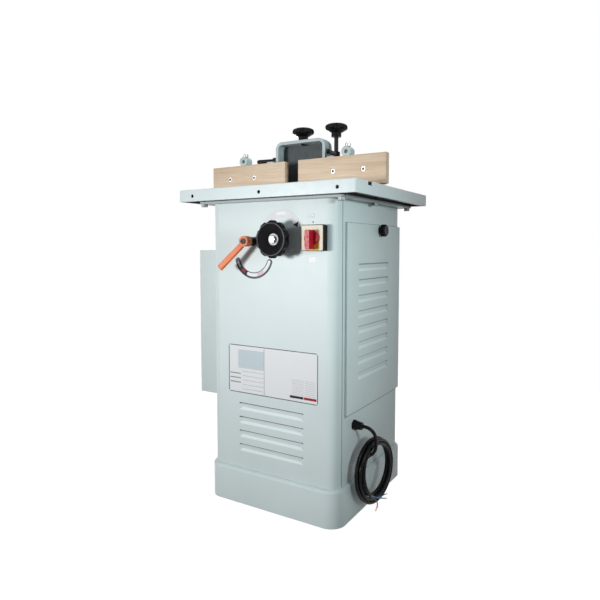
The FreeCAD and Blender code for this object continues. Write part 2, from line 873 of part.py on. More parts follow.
def make_motor_cover():
    sheet, lip = S.sheet_steel, S.cover_lip
    front = PANEL_FRONT + S.cover_front
    reach, base, height = cover_span()
    length = S.cover_length
    block = fillet("cover_block", box("cover_box", (reach, length, height), (-SIDE - reach, front, base)),
                   S.cover_corner, runs_along("Z"))
    flange = box("cover_flange", (sheet, length + 2 * lip, height), (-SIDE - sheet, front - lip, base))
    solid = fuse("cover_solid", block, flange)
    hollow = box("cover_hollow", (reach - sheet, length - 2 * sheet, height - 2 * sheet),
                 (-SIDE - reach + sheet, front + sheet, base + sheet))
    holes = [rod("cover_hole_%d" % i, S.cover_screw_radius + S.bolt_gap, 3 * sheet,
                 (-SIDE - 2 * sheet, y, z), "X")
             for i, (y, z) in enumerate(cover_screw_spots())]
    node(cut("motor_cover", solid, hollow, *holes))


def make_cover_screws():
    head = S.cover_screw_head
    screws = []
    for i, (y, z) in enumerate(cover_screw_spots()):
        seat = (-SIDE - S.sheet_steel, y, z)
        shank = rod("cover_screw_%d_shank" % i, S.cover_screw_radius, 6 * S.sheet_steel, seat, "X")
        cap = taper("cover_screw_%d_cap" % i, head, head - 2, S.cover_screw_radius, seat, "-X")
        screws.append(fuse("cover_screw_%d" % i, shank, cap))
    node(group("cover_screws", screws))


# Table

def table_bolt_spots():
    x, y = S.table_bolt_x, S.table_bolt_y
    return [(side * x, at) for side in (-1, 1) for at in (-y, -S.table_bolt_middle, y)]


def make_top_plate():
    thick = S.top_plate_thick
    plate = rounded_slab("top_plate_block", (S.top_plate_width, S.top_plate_depth, thick),
                         (0, 0, CABINET_TOP), S.top_plate_corner)
    opening = slab("top_plate_opening", (S.top_opening_width, S.top_opening_depth, 3 * thick),
                   (0, 0, CABINET_TOP - thick))
    holes = [rod("top_plate_hole_%d" % i, S.table_bolt_radius + S.bolt_gap, 3 * thick,
                 (x, y, CABINET_TOP - thick))
             for i, (x, y) in enumerate(table_bolt_spots())]
    node(cut("top_plate", plate, opening, *holes))


def make_table_bolts():
    length = S.top_plate_thick + S.table_bolt_grip
    bolts = [hex_bolt("table_bolt_%d" % i, (x, y, CABINET_TOP), "Z", S.table_bolt_radius, length,
                      S.table_bolt_head, S.table_bolt_head_height)
             for i, (x, y) in enumerate(table_bolt_spots())]
    node(group("table_bolts", bolts))


def housing_bolt_spots():
    reach = S.housing_bolt_circle * math.sqrt(0.5)
    return [(sx * reach, SPINDLE_Y + sy * reach) for sx in (-1, 1) for sy in (-1, 1)]


def fence_bolt_y():
    return HOOD_FRONT + S.hood_depth + S.fence_bolt_setback


def make_table():
    wide, deep, edge, rim = S.table_width, S.table_depth, S.table_edge, S.table_rim
    middle = TABLE_FRONT + deep / 2
    under = edge - S.table_plate
    block = rounded_slab("table_block", (wide, deep, edge), (0, middle, PLATE_TOP), S.table_corner)
    softened = fillet("table_softened", block, S.table_corner / 2, at_height(TABLE_TOP))
    hollow = slab("table_hollow", (wide - 2 * rim, deep - 2 * rim, under), (0, middle, PLATE_TOP))
    skin = cut("table_skin", softened, hollow)
    span_x, span_y, rib = 2 * S.table_bolt_x, 2 * S.table_bolt_y, S.table_rib
    frame = cut("table_ribs",
                slab("table_ribs_outer", (span_x + rib, span_y + rib, under), (0, 0, PLATE_TOP)),
                slab("table_ribs_inner", (span_x - rib, span_y - rib, under), (0, 0, PLATE_TOP)))
    slot_y = TABLE_FRONT + S.slot_setback
    slot_rib = slab("table_slot_rib", (wide - 2 * rim, S.slot_width + 2 * S.slot_wall, S.housing_seat),
                    (0, slot_y, HOUSING_TOP))
    seat = rod("table_housing_seat", S.housing_flange, S.housing_seat, (0, SPINDLE_Y, HOUSING_TOP))
    bosses = [rod("table_boss_%d" % i, S.table_boss, under, (x, y, PLATE_TOP))
              for i, (x, y) in enumerate(table_bolt_spots())]
    casting = fuse("table_casting", skin, frame, slot_rib, seat, *bosses)
    slot_cut = slab("table_slot", (wide * 2, S.slot_width, S.slot_depth * 2),
                    (0, slot_y, TABLE_TOP - S.slot_depth))
    hole = rod("table_opening", S.opening_radius, 2 * edge, (0, SPINDLE_Y, PLATE_TOP - edge / 2))
    rabbet = rod("table_rabbet", S.opening_radius + S.rabbet_width, S.rabbet_depth * 2,
                 (0, SPINDLE_Y, TABLE_TOP - S.rabbet_depth))
    drilled = [rod("table_bolt_hole_%d" % i, S.table_bolt_radius + S.bolt_gap, S.table_bolt_grip + 1,
                   (x, y, PLATE_TOP)) for i, (x, y) in enumerate(table_bolt_spots())]
    drilled += [rod("table_housing_hole_%d" % i, S.housing_bolt_radius + S.bolt_gap,
                    S.housing_seat + S.table_plate / 2, (x, y, HOUSING_TOP))
                for i, (x, y) in enumerate(housing_bolt_spots())]
    drilled += [rod("table_fence_hole_%d" % i, S.fence_bolt_radius + S.bolt_gap, 2 * S.table_plate,
                    (side * S.fence_bolt_x, fence_bolt_y(), TABLE_UNDER - S.table_plate / 2))
                for i, side in enumerate((-1, 1))]
    drilled += [rod("table_edge_hole_%d" % i, S.edge_hole_radius, rim,
                    (step * S.edge_hole_spacing, TABLE_FRONT, TABLE_TOP - S.edge_hole_drop), "Y")
                for i, step in enumerate((-1, 0, 1))]
    node(cut("table", casting, slot_cut, hole, rabbet, *drilled))


def make_table_rings():
    gap = S.curve_gap
    top = TABLE_TOP
    outer = tube("outer_ring_blank", S.opening_radius + S.rabbet_width - gap, S.ring_bore, S.rabbet_depth,
                 (0, SPINDLE_Y, top - S.rabbet_depth))
    step = rod("outer_ring_rabbet", S.ring_bore + S.ring_rabbet_width, S.ring_rabbet_depth * 2,
               (0, SPINDLE_Y, top - S.ring_rabbet_depth))
    node(cut("outer_table_ring", outer, step))
    node(tube("inner_table_ring", S.ring_bore + S.ring_rabbet_width - gap, S.small_ring_bore,
              S.ring_rabbet_depth, (0, SPINDLE_Y, top - S.ring_rabbet_depth)))


# Spindle, quill and housing

def make_spindle():
    base = QUILL_BASE - S.pulley_drop - S.tail_length
    rise = SHOULDER_TOP - base
    tail = S.tail_length + S.pulley_drop / 2
    nose = S.nose_radius
    top = rise + S.nose_length
    thread = S.nut_height + 2 * nose
    outline = [(dim(0), dim(0)), (S.tail_radius - 1, dim(0)), (S.tail_radius, dim(1)), (S.tail_radius, tail),
               (S.journal_radius, tail), (S.journal_radius, rise - S.shoulder_height),
               (S.shoulder_radius, rise - S.shoulder_height), (S.shoulder_radius, rise), (nose, rise),
               (nose, top - thread), (nose - S.curve_gap, top - thread), (nose - S.curve_gap, top - 2),
               (nose - 2, top), (dim(0), top)]
    node(revolved("spindle", outline, (0, SPINDLE_Y, base)))


def make_spindle_collars():
    height, radius = S.collar_height, S.collar_radius
    rings = [tube("spindle_collar_%d" % i, radius, S.nose_radius, height,
                  (0, SPINDLE_Y, SHOULDER_TOP + i * height)) for i in range(3)]
    node(group("spindle_collars", rings))
    seat = (0, SPINDLE_Y, SHOULDER_TOP + 3 * height)
    blank = hexagon("spindle_nut_blank", S.nut_radius, S.nut_height, seat)
    node(cut("spindle_nut", blank, rod("spindle_nut_bore", S.nose_radius, S.nut_height, seat)))


def make_quill():
    radius, bore, length = S.quill_radius, S.quill_bore, S.quill_length
    pocket, width = S.bearing_radius, S.bearing_width
    outline = [(pocket, dim(0)), (radius, dim(0)), (radius, length), (pocket, length),
               (pocket, length - width), (bore, length - width), (bore, width), (pocket, width)]
    blank = revolved("quill_blank", outline, (0, SPINDLE_Y, QUILL_BASE))
    low, high = rack_span()
    groove = box("quill_groove", (S.quill_radius, S.rack_width, high - low),
                 (rack_root() - S.rack_back, SPINDLE_Y - S.rack_width / 2, low))
    node(cut("quill", blank, groove))


def make_bearings():
    radius, bore, width = S.bearing_radius, S.journal_radius + S.run_gap, S.bearing_width
    third = (radius - bore) / 3
    dish = width / 8
    outline = [(bore, dim(0)), (bore + third, dim(0)), (bore + third, dish), (radius - third, dish),
               (radius - third, dim(0)), (radius, dim(0)), (radius, width), (radius - third, width),
               (radius - third, width - dish), (bore + third, width - dish), (bore + third, width),
               (bore, width)]
    seats = (("upper_bearing", QUILL_TOP - width), ("lower_bearing", QUILL_BASE))
    node(group("bearings", [revolved(name, outline, (0, SPINDLE_Y, base)) for name, base in seats]))


def make_housing():
    bore = S.quill_radius + S.run_gap
    base = HOUSING_TOP - S.housing_length
    barrel = rod("housing_barrel", S.quill_radius + S.housing_wall, S.housing_length, (0, SPINDLE_Y, base))
    flange = rod("housing_flange_disc", S.housing_flange, S.housing_flange_thick,
                 (0, SPINDLE_Y, HOUSING_TOP - S.housing_flange_thick))
    half = S.pinion_boss_half
    boss = rod("housing_pinion_boss", S.pinion_boss_radius, 2 * half,
               (S.pinion_offset, SPINDLE_Y - half, SHAFT_Z), "Y")
    web = slab("housing_web", (S.pinion_offset, 2 * half / 3, 2 * S.pinion_boss_radius),
               (S.pinion_offset / 2, SPINDLE_Y, SHAFT_Z - S.pinion_boss_radius))
    reach = S.lock_offset + S.ear_edge
    ear = box("housing_ears", (reach, 2 * S.ear_half_width, 2 * S.ear_half_height),
              (-reach, SPINDLE_Y - S.ear_half_width, LOCK_Z - S.ear_half_height))
    solid = fuse("housing_solid", barrel, flange, boss, web, ear)
    bore_cut = rod("housing_bore", bore, 2 * S.housing_length, (0, SPINDLE_Y, base - S.housing_length / 2))
    shaft_cut = rod("housing_shaft_bore", S.bush_radius, 3 * half,
                    (S.pinion_offset, SPINDLE_Y - 1.5 * half, SHAFT_Z), "Y")
    slit = box("housing_slit", (2 * reach, S.ear_slit, LOCK_Z + 2 * S.ear_half_height - base),
               (-2 * reach, SPINDLE_Y - S.ear_slit / 2, base - S.ear_half_height / 2))
    lock_cut = rod("housing_lock_bore", S.lock_bolt_radius + S.bolt_gap, 4 * S.ear_half_width,
                   (-S.lock_offset, SPINDLE_Y - 2 * S.ear_half_width, LOCK_Z), "Y")
    holes = [rod("housing_bolt_hole_%d" % i, S.housing_bolt_radius + S.bolt_gap, 2 * S.housing_flange_thick,
                 (x, y, HOUSING_TOP - 1.5 * S.housing_flange_thick))
             for i, (x, y) in enumerate(housing_bolt_spots())]
    node(cut("spindle_housing", solid, bore_cut, shaft_cut, slit, lock_cut, *holes))


def make_housing_bolts():
    length = S.housing_flange_thick + S.housing_seat + S.table_plate / 4
    bolts = [hex_bolt("housing_bolt_%d" % i, (x, y, HOUSING_TOP - S.housing_flange_thick), "Z",
                      S.housing_bolt_radius, length, S.housing_bolt_head, S.housing_bolt_head_height)
             for i, (x, y) in enumerate(housing_bolt_spots())]
    node(group("housing_bolts", bolts))


# Rack, pinion shaft and handwheel

def pitch_radius():
    return S.gear_module * S.pinion_teeth / 2


def rack_root():
    """X of the rack's root line, under the pinion's pitch circle."""
    return S.pinion_offset - pitch_radius() - 1.25 * S.gear_module


def rack_span():
    """Foot and head of the rack, which covers the whole lift."""
    reach = pitch_radius() + 2 * S.gear_module
    return SHAFT_Z - S.lift_travel - reach, SHAFT_Z + reach


def flank(distance):
    """Half a tooth's width at a distance above the pitch line, thinned for slack."""
    half_tooth = math.pi / 4 * S.gear_module - S.gear_slack
    return half_tooth - math.tan(math.radians(20)) * distance


def make_rack():
    low, high = rack_span()
    module, back = S.gear_module, S.rack_back
    pitch = math.pi * module
    body = DOC.addObject("PartDesign::Body", "quill_rack")
    bar = new_sketch(body, "rack_bar", "XZ_Plane")
    draw_polygon(bar, [(dim(0), dim(0)), (back, dim(0)), (back, high - low), (dim(0), high - low)])
    bar_pad = body.newObject("PartDesign::Pad", "rack_bar_pad")
    bar_pad.Profile = bar
    bar_pad.SideType = "Symmetric"
    bind(bar_pad, "Length", S.rack_width)
    steps = math.floor((float(S.lift_travel) + float(pitch_radius()) + float(module)) / float(pitch))
    upper = math.floor((float(pitch_radius()) + float(module)) / float(pitch))
    first = SHAFT_Z - low - steps * pitch
    root, tip = 1.25 * module, module
    tooth = new_sketch(body, "rack_tooth", "XZ_Plane")
    sunk = back - module / 2
    draw_polygon(tooth, [(sunk, first - flank(-root)), (back, first - flank(-root)),
                         (back + root + tip, first - flank(tip)), (back + root + tip, first + flank(tip)),
                         (back, first + flank(-root)), (sunk, first + flank(-root))])
    tooth_pad = body.newObject("PartDesign::Pad", "rack_tooth_pad")
    tooth_pad.Profile = tooth
    tooth_pad.SideType = "Symmetric"
    bind(tooth_pad, "Length", S.rack_width)
    row = body.newObject("PartDesign::LinearPattern", "rack_row")
    row.Originals = [tooth_pad]
    row.Direction = (tooth, ["V_Axis"])
    bind(row, "Length", (steps + upper) * pitch)
    row.Occurrences = steps + upper + 1
    body.Tip = row
    place(body, (rack_root() - back, SPINDLE_Y, low), TURNS["Z"])
    node(body)


def make_pinion_shaft():
    front = wheel_back() - wheel_floor() - S.wheel_washer_thick - S.wheel_nut_height
    rear = SPINDLE_Y + S.pinion_boss_half + S.bush_length / 4
    radius, module = S.shaft_radius, S.gear_module
    length = rear - front
    neck, middle = S.shaft_neck, SPINDLE_Y - front
    outline = [(dim(0), dim(0)), (radius, dim(0)), (radius, middle - S.shaft_neck_half),
               (neck, middle - S.shaft_neck_half), (neck, middle + S.shaft_neck_half),
               (radius, middle + S.shaft_neck_half), (radius, length), (dim(0), length)]
    spin = 180 / float(S.pinion_teeth)
    body = revolved("pinion_shaft", outline, (S.pinion_offset, front, SHAFT_Z), "Y", spin)
    tooth = new_sketch(body, "pinion_tooth", "XY_Plane")
    bind(tooth, "AttachmentOffset.Base.z", middle - S.pinion_width / 2)
    pitch = pitch_radius()
    root, tip = pitch - 1.25 * module, pitch + 0.9 * module
    foot, middle_width, crest = flank(-module / 3), flank(dim(0)), flank(1.4 * module)
    draw_polygon(tooth, [(neck / 2, -foot), (root, -foot), (pitch, -middle_width), (tip, -crest),
                         (tip, crest), (pitch, middle_width), (root, foot), (neck / 2, foot)])
    pad = body.newObject("PartDesign::Pad", "pinion_tooth_pad")
    pad.Profile = tooth
    bind(pad, "Length", S.pinion_width)
    polar(body, "pinion_teeth_ring", pad, tooth, S.pinion_teeth)
    node(body)


def make_shaft_bushes():
    half, length = S.pinion_boss_half, S.bush_length
    bore = S.shaft_radius + S.run_gap
    bushes = []
    for name, seat, axis in (("front", SPINDLE_Y - half, "Y"), ("rear", SPINDLE_Y + half, "-Y")):
        at = (S.pinion_offset, seat, SHAFT_Z)
        collar_at = along(at, axis, -S.sheet_steel)
        sleeve = rod("bush_%s_sleeve" % name, S.bush_radius, length, at, axis)
        collar = rod("bush_%s_collar" % name, S.pinion_boss_radius - 2, S.sheet_steel, collar_at, axis)
        hole = rod("bush_%s_bore" % name, bore, 2 * length, along(at, axis, -length / 2), axis)
        bushes.append(cut("bush_" + name, fuse("bush_%s_blank" % name, sleeve, collar), hole))
    node(group("shaft_bushes", bushes))


def wheel_back():
    """Y of the back of the handwheel's hub."""
    return PANEL_FRONT - S.wheel_stand


def wheel_floor():
    """How far the floor of the handwheel's dish lies before the back of its hub."""
    return S.wheel_hub_length + S.wheel_rim - S.wheel_dish_depth


def make_handwheel():
    hub, radius, rim, bore = S.wheel_hub_radius, S.wheel_radius, S.wheel_rim, S.shaft_radius
    back = S.wheel_hub_length
    front = back + rim
    floor = wheel_floor()
    edge, web = rim / 9, rim / 3
    face, dish = S.wheel_face_radius, S.wheel_dish_radius
    outline = [(bore, dim(0)), (hub, dim(0)), (hub, floor - web), (dish - web, front - 2 * web), (dish, back),
               (radius - 2 * edge, back), (radius, back + 2 * edge), (radius, front - 3 * edge),
               (radius - edge, front - 2 * edge), (face, front - edge), (face - edge / 2, front),
               (dish, front), (S.wheel_seat_radius, floor), (bore, floor)]
    body = revolved("handwheel", outline, (S.pinion_offset, wheel_back(), SHAFT_Z), "-Y")
    scallop(body, "handwheel_lobes", radius, S.wheel_lobe_radius, S.wheel_lobe_depth, S.wheel_lobes)
    node(body)


def make_handwheel_nut():
    seat = (S.pinion_offset, wheel_back() - wheel_floor(), SHAFT_Z)
    washer = rod("wheel_washer", S.wheel_washer_radius, S.wheel_washer_thick, seat, "-Y")
    nut = hexagon("wheel_hex", S.wheel_nut_radius, S.wheel_nut_height,
                  along(seat, "-Y", S.wheel_washer_thick), "-Y")
    bore = rod("wheel_nut_bore", S.shaft_radius, S.wheel_rim, seat, "-Y")
    node(cut("handwheel_nut", fuse("wheel_nut_blank", washer, nut), bore))


# Quill lock

def flat_arm(name, root, way):
    """A flat bar that widens from its root to a square end, lying along a direction."""
    obj = DOC.addObject("Part::Wedge", name)
    neck, end, half = S.lock_arm_neck, S.lock_arm_end, S.lock_arm_half_thick
    bounds = {"Xmin": -neck, "Xmax": neck, "X2min": -end, "X2max": end,
              "Ymin": dim(0), "Ymax": S.lock_arm_length,
              "Zmin": -half, "Zmax": half, "Z2min": -half, "Z2max": half}
    for prop, amount in bounds.items():
        bind(obj, prop, amount)
    return place(obj, root, FreeCAD.Rotation(Vector(), way, Vector(0, -1, 0), "YZX"))


def make_lock():
    panel = (-S.lock_offset, PANEL_FRONT, LOCK_Z)
    spacer = S.lock_spacer_length
    node(tube("lock_spacer", S.lock_spacer_radius, S.lock_bolt_radius + S.curve_gap, spacer, panel, "-Y"))
    boss_back = along(panel, "-Y", spacer + S.curve_gap)
    boss_front = along(boss_back, "-Y", S.lock_boss_length)
    rear = SPINDLE_Y + S.ear_half_width + S.lock_nut_height
    sink = S.lock_boss_length / 3
    bolt_front = along(boss_front, "Y", sink)
    node(rod("lock_bolt", S.lock_bolt_radius, rear - bolt_front[1], bolt_front, "Y"))
    nut_seat = (-S.lock_offset, SPINDLE_Y + S.ear_half_width, LOCK_Z)
    blank = hexagon("lock_nut_blank", S.lock_nut_radius, S.lock_nut_height, nut_seat, "Y")
    node(cut("lock_nut", blank, rod("lock_nut_bore", S.lock_bolt_radius + S.run_gap, S.lock_nut_height,
                                    nut_seat, "Y")))
    hub = rod("lock_hub", S.lock_boss_radius, S.lock_boss_length, boss_back, "-Y")
    angle, lean = math.radians(float(S.lock_arm_angle)), math.radians(float(S.lock_arm_lean))
    way = Vector(math.cos(angle) * math.cos(lean), -math.sin(lean), math.sin(angle) * math.cos(lean))
    root = along(boss_back, "-Y", S.lock_boss_length / 2)
    arm = flat_arm("lock_arm", root, way)
    solid = fuse("lock_lever_solid", hub, fillet("lock_arm_soft", arm, S.lock_arm_round, lambda edge: True))
    bolt_room = rod("lock_lever_bore", S.lock_bolt_radius, S.lock_boss_length - sink, boss_back, "-Y")
    node(cut("lock_lever", solid, bolt_room))
    cap = rod("lock_screw_head", S.lock_screw_radius, S.lock_screw_height, boss_front, "-Y")
    recess = hexagon("lock_screw_recess", S.lock_screw_radius / 2, S.lock_screw_height,
                     along(boss_front, "-Y", S.lock_screw_height / 2), "-Y")
    node(cut("lock_lever_screw", cap, recess))


# Switch

def make_switch():
    middle = (SIDE - S.switch_inset, PANEL_FRONT, TABLE_TOP - S.switch_drop)
    x, y, z = middle
    wide, high, thick = S.switch_width, S.switch_height, S.switch_thick
    block = box("switch_block", (wide, thick, high), (x - wide / 2, y - thick, z - high / 2))
    node(fillet("switch_case", block, S.switch_corner, runs_along("Y")))
    inset, plate = S.switch_plate_inset, S.switch_plate_thick
    face = box("switch_plate_block", (wide - 2 * inset, plate, high - 2 * inset),
               (x - wide / 2 + inset, y - thick - plate, z - high / 2 + inset))
    node(fillet("switch_plate", face, S.switch_corner - inset, runs_along("Y")))
    seat = along(middle, "-Y", thick + plate + S.curve_gap)
    radius, base = S.switch_knob_radius, S.switch_knob_base
    outline = [(dim(0), dim(0)), (radius, dim(0)), (radius, base - 1), (radius - 1, base), (dim(0), base)]
    disc = revolved("switch_knob_disc", outline, seat, "-Y")
    grip_wide, grip_high, tail = S.switch_grip_width, S.switch_grip_height, S.switch_grip_tail
    bar = box("switch_grip_bar", (grip_wide, base + grip_high, radius + tail),
              (x - grip_wide / 2, seat[1] - base - grip_high, z - tail))
    grip = fillet("switch_grip", bar, grip_wide / 3, runs_along("Y"))
    node(fuse("switch_knob", disc, grip))


def make_hole_plug():
    outline = [(dim(0), dim(0)), (S.plug_radius, dim(0)), (S.plug_radius, S.plug_height / 2),
               (S.plug_radius / 2, S.plug_height), (dim(0), S.plug_height)]
    node(revolved("hole_plug", outline, (SIDE - S.plug_inset, PANEL_FRONT, TABLE_TOP - S.plug_drop), "-Y"))


# Motor and belt drive

def make_motor_bracket():
    ring = rod("bracket_clamp", S.bracket_ring, S.bracket_ring_height, (0, SPINDLE_Y, QUILL_BASE))
    pad = rod("bracket_motor_pad", S.bracket_pad, S.bracket_plate, (MOTOR_X, MOTOR_Y, QUILL_BASE))
    arm = box("bracket_arm", (S.motor_reach, S.bracket_arm_width, S.bracket_plate),
              (MOTOR_X, (SPINDLE_Y + MOTOR_Y) / 2 - S.bracket_arm_width / 2, QUILL_BASE))
    bore = rod("bracket_bore", S.quill_radius, 2 * S.bracket_ring_height, (0, SPINDLE_Y, QUILL_BASE - 1))
    hole = rod("bracket_hole", S.bracket_shaft_hole, 2 * S.bracket_plate, (MOTOR_X, MOTOR_Y, QUILL_BASE - 1))
    bolts = [rod("bracket_bolt_hole_%d" % i, S.motor_bolt_radius + S.bolt_gap, 2 * S.bracket_plate,
                 (x, y, QUILL_BASE - 1)) for i, (x, y) in enumerate(motor_bolt_spots())]
    node(cut("motor_bracket", fuse("bracket_solid", ring, pad, arm), bore, hole, *bolts))


def motor_bolt_spots():
    reach = S.motor_bolt_circle * math.sqrt(0.5)
    return [(MOTOR_X + sx * reach, MOTOR_Y + sy * reach) for sx in (-1, 1) for sy in (-1, 1)]


def make_motor():
    base = QUILL_BASE + S.bracket_plate
    radius, length = S.motor_radius, S.motor_length
    bore = S.motor_shaft_radius + S.run_gap
    outline = [(bore, dim(0)), (radius, dim(0)), (radius, length), (bore, length)]
    body = revolved("motor_barrel", outline, (MOTOR_X, MOTOR_Y, base))
    scallop(body, "motor_fin_ring", radius, S.motor_fin_groove, S.motor_fin_groove, S.motor_fins)
    sockets = [rod("motor_socket_%d" % i, S.motor_bolt_radius + S.bolt_gap, S.bracket_plate, (x, y, base))
               for i, (x, y) in enumerate(motor_bolt_spots())]
    node(cut("motor_body", body, *sockets))
    cap, wall = S.motor_cap, S.sheet_steel
    rim = radius - wall
    shell = [(rim - wall, dim(0)), (rim, dim(0)), (rim, cap - 3 * wall), (rim - 3 * wall, cap), (dim(0), cap),
             (dim(0), cap - wall), (rim - 4 * wall, cap - wall), (rim - wall, cap - 4 * wall)]
    node(revolved("motor_fan_cover", shell, (MOTOR_X, MOTOR_Y, base + length)))
    bolts = [hex_bolt("motor_bolt_%d" % i, (x, y, QUILL_BASE), "Z", S.motor_bolt_radius,
                      1.75 * S.bracket_plate, S.motor_bolt_head, S.motor_bolt_radius)
             for i, (x, y) in enumerate(motor_bolt_spots())]
    node(group("motor_bolts", bolts))
    low = QUILL_BASE - S.motor_shaft_drop
    high = base + length + S.motor_cap / 2
    node(rod("motor_shaft", S.motor_shaft_radius, high - low, (MOTOR_X, MOTOR_Y, low)))


def make_pulley(name, radius, bore, at):
    height = S.pulley_height
    middle = height / 2
    floor = radius - S.groove_depth
    wide, narrow = S.groove_mouth / 2, S.groove_floor / 2
    outline = [(bore, dim(0)), (floor, dim(0)), (floor, middle / 3), (radius, middle / 3),
               (radius, middle - wide), (floor, middle - narrow), (floor, middle + narrow),
               (radius, middle + wide), (radius, height - middle / 3), (floor, height - middle / 3),
               (floor, height), (bore, height)]
    node(revolved(name, outline, at))


def belt_tangents(radius, other):
    """Ends of the two straight runs that touch both belt circles, in the belt's own plane."""
    shift = Vector(float(MOTOR_X), float(S.motor_shift), 0)
    lean = math.asin((other - radius) / shift.Length)
    heading = math.atan2(shift.y, shift.x)
    ends = []
    for side in (-1, 1):
        angle = heading + side * (math.pi / 2 + lean)
        normal = Vector(math.cos(angle), math.sin(angle), 0)
        ends.append((normal * radius, shift + normal * other))
    return shift, ends


def make_belt():
    sink, depth = float(S.belt_sink), float(S.belt_depth)
    small = float(S.spindle_pulley_radius) - sink
    large = float(S.motor_pulley_radius) - sink
    shift, ((a, b), (c, d)) = belt_tangents(small, large)
    heading = Vector(shift)
    heading.normalize()
    path = Part.Wire([Part.makeLine(a, b), Part.Arc(b, shift + heading * large, d).toShape(),
                      Part.makeLine(d, c), Part.Arc(c, heading * -small, a).toShape()])
    slope = (float(S.groove_mouth) - float(S.groove_floor)) / 2 / float(S.groove_depth)
    top = float(S.groove_mouth) / 2 - sink * slope - float(S.belt_side_gap)
    bottom = top - depth * slope
    inward = Vector(a)
    inward.normalize()
    inner = a - inward * depth
    up = Vector(0, 0, 1)
    corners = [a + up * top, a - up * top, inner - up * bottom, inner + up * bottom, a + up * top]
    belt = DOC.addObject("Part::Feature", "drive_belt")
    belt.Shape = path.makePipeShell([Part.makePolygon(corners)], True, False)
    belt.Placement = FreeCAD.Placement(Vector(0, float(SPINDLE_Y), float(BELT_Z)), FreeCAD.Rotation())
    node(belt)


# Fence

def span(side, near, far):
    """Lower X of a piece that reaches from near to far on one side of the spindle."""
    return near if side > 0 else -far


def make_fence_casting():
    half, wall, depth = S.hood_half_width, S.hood_wall, S.hood_depth
    high = S.hood_height
    shell = box("hood_block", (2 * half, depth, high), (-half, HOOD_FRONT, FENCE_BASE))
    top, back = float(HOOD_TOP), float(HOOD_BACK)

    def crown(edge):
        ends = [corner.Point for corner in edge.Vertexes]
        level = all(abs(end.z - top) < 1e-6 for end in ends)
        return level and (runs_along("Y")(edge) or all(abs(end.y - back) < 1e-6 for end in ends))
    hood = fillet("hood_rounded", shell, S.hood_round, crown)
    foot = S.foot_thick
    rear = box("foot_rear", (2 * S.foot_half_width, S.foot_depth, foot),
               (-S.foot_half_width, HOOD_BACK - wall, FENCE_BASE))
    arms = [box("foot_arm_%d" % i, (S.foot_half_width - half + wall, depth + S.foot_front, foot),
                (span(side, half - wall, S.foot_half_width), HOOD_FRONT - S.foot_front, FENCE_BASE))
            for i, side in enumerate((-1, 1))]
    solid = fuse("fence_solid", hood, rear, *arms)
    room = box("hood_room", (2 * half - 2 * wall, depth + S.foot_front, high),
               (-half + wall, HOOD_FRONT - wall - S.foot_front, FENCE_BASE - wall))
    inner = fillet("hood_room_rounded", room, S.hood_round - wall, runs_along("Y"))
    slots = [slot("fence_slot_%d" % i, S.fence_bolt_radius + S.bolt_gap, 3 * foot,
                  (side * S.fence_bolt_x, fence_bolt_y() - S.fence_back, FENCE_BASE - foot),
                  (side * S.fence_bolt_x, fence_bolt_y() + S.fence_forward, FENCE_BASE - foot))
             for i, side in enumerate((-1, 1))]
    knob_hole = rod("hood_knob_hole", S.stud_radius + S.run_gap, 3 * wall,
                    (0, HOOD_FRONT + depth / 2, HOOD_TOP - 2 * wall))
    sockets = [rod("fence_stud_socket_%d" % i, S.stud_radius, foot, (x, STUD_Y, FENCE_BASE))
               for i, x in enumerate((-S.left_stud_x, S.right_stud_x))]
    node(cut("fence_casting", solid, inner, knob_hole, *slots, *sockets))


def make_fence_studs():
    left_top = TOWER_TOP + S.curve_gap + S.clamp_hub_height
    right_top = TABLE_TOP + S.infeed_knob_rise + S.star_socket - S.curve_gap
    studs = [rod("stud_left", S.stud_radius, left_top - FENCE_BASE, (-S.left_stud_x, STUD_Y, FENCE_BASE)),
             rod("stud_right", S.stud_radius, right_top - FENCE_BASE, (S.right_stud_x, STUD_Y, FENCE_BASE))]
    node(group("fence_studs", studs))


def make_fence_bolts():
    length = S.foot_thick + S.table_plate
    bolts = [hex_bolt("fence_bolt_%d" % i,
                      (side * S.fence_bolt_x, fence_bolt_y(), FOOT_TOP + S.curve_gap), "-Z",
                      S.fence_bolt_radius, length, S.fence_bolt_head, S.fence_bolt_head_height)
             for i, side in enumerate((-1, 1))]
    node(group("fence_bolts", bolts))


def boss_place(side):
    """X of a carrier's boss."""
    return S.right_boss_x if side > 0 else -S.left_boss_x


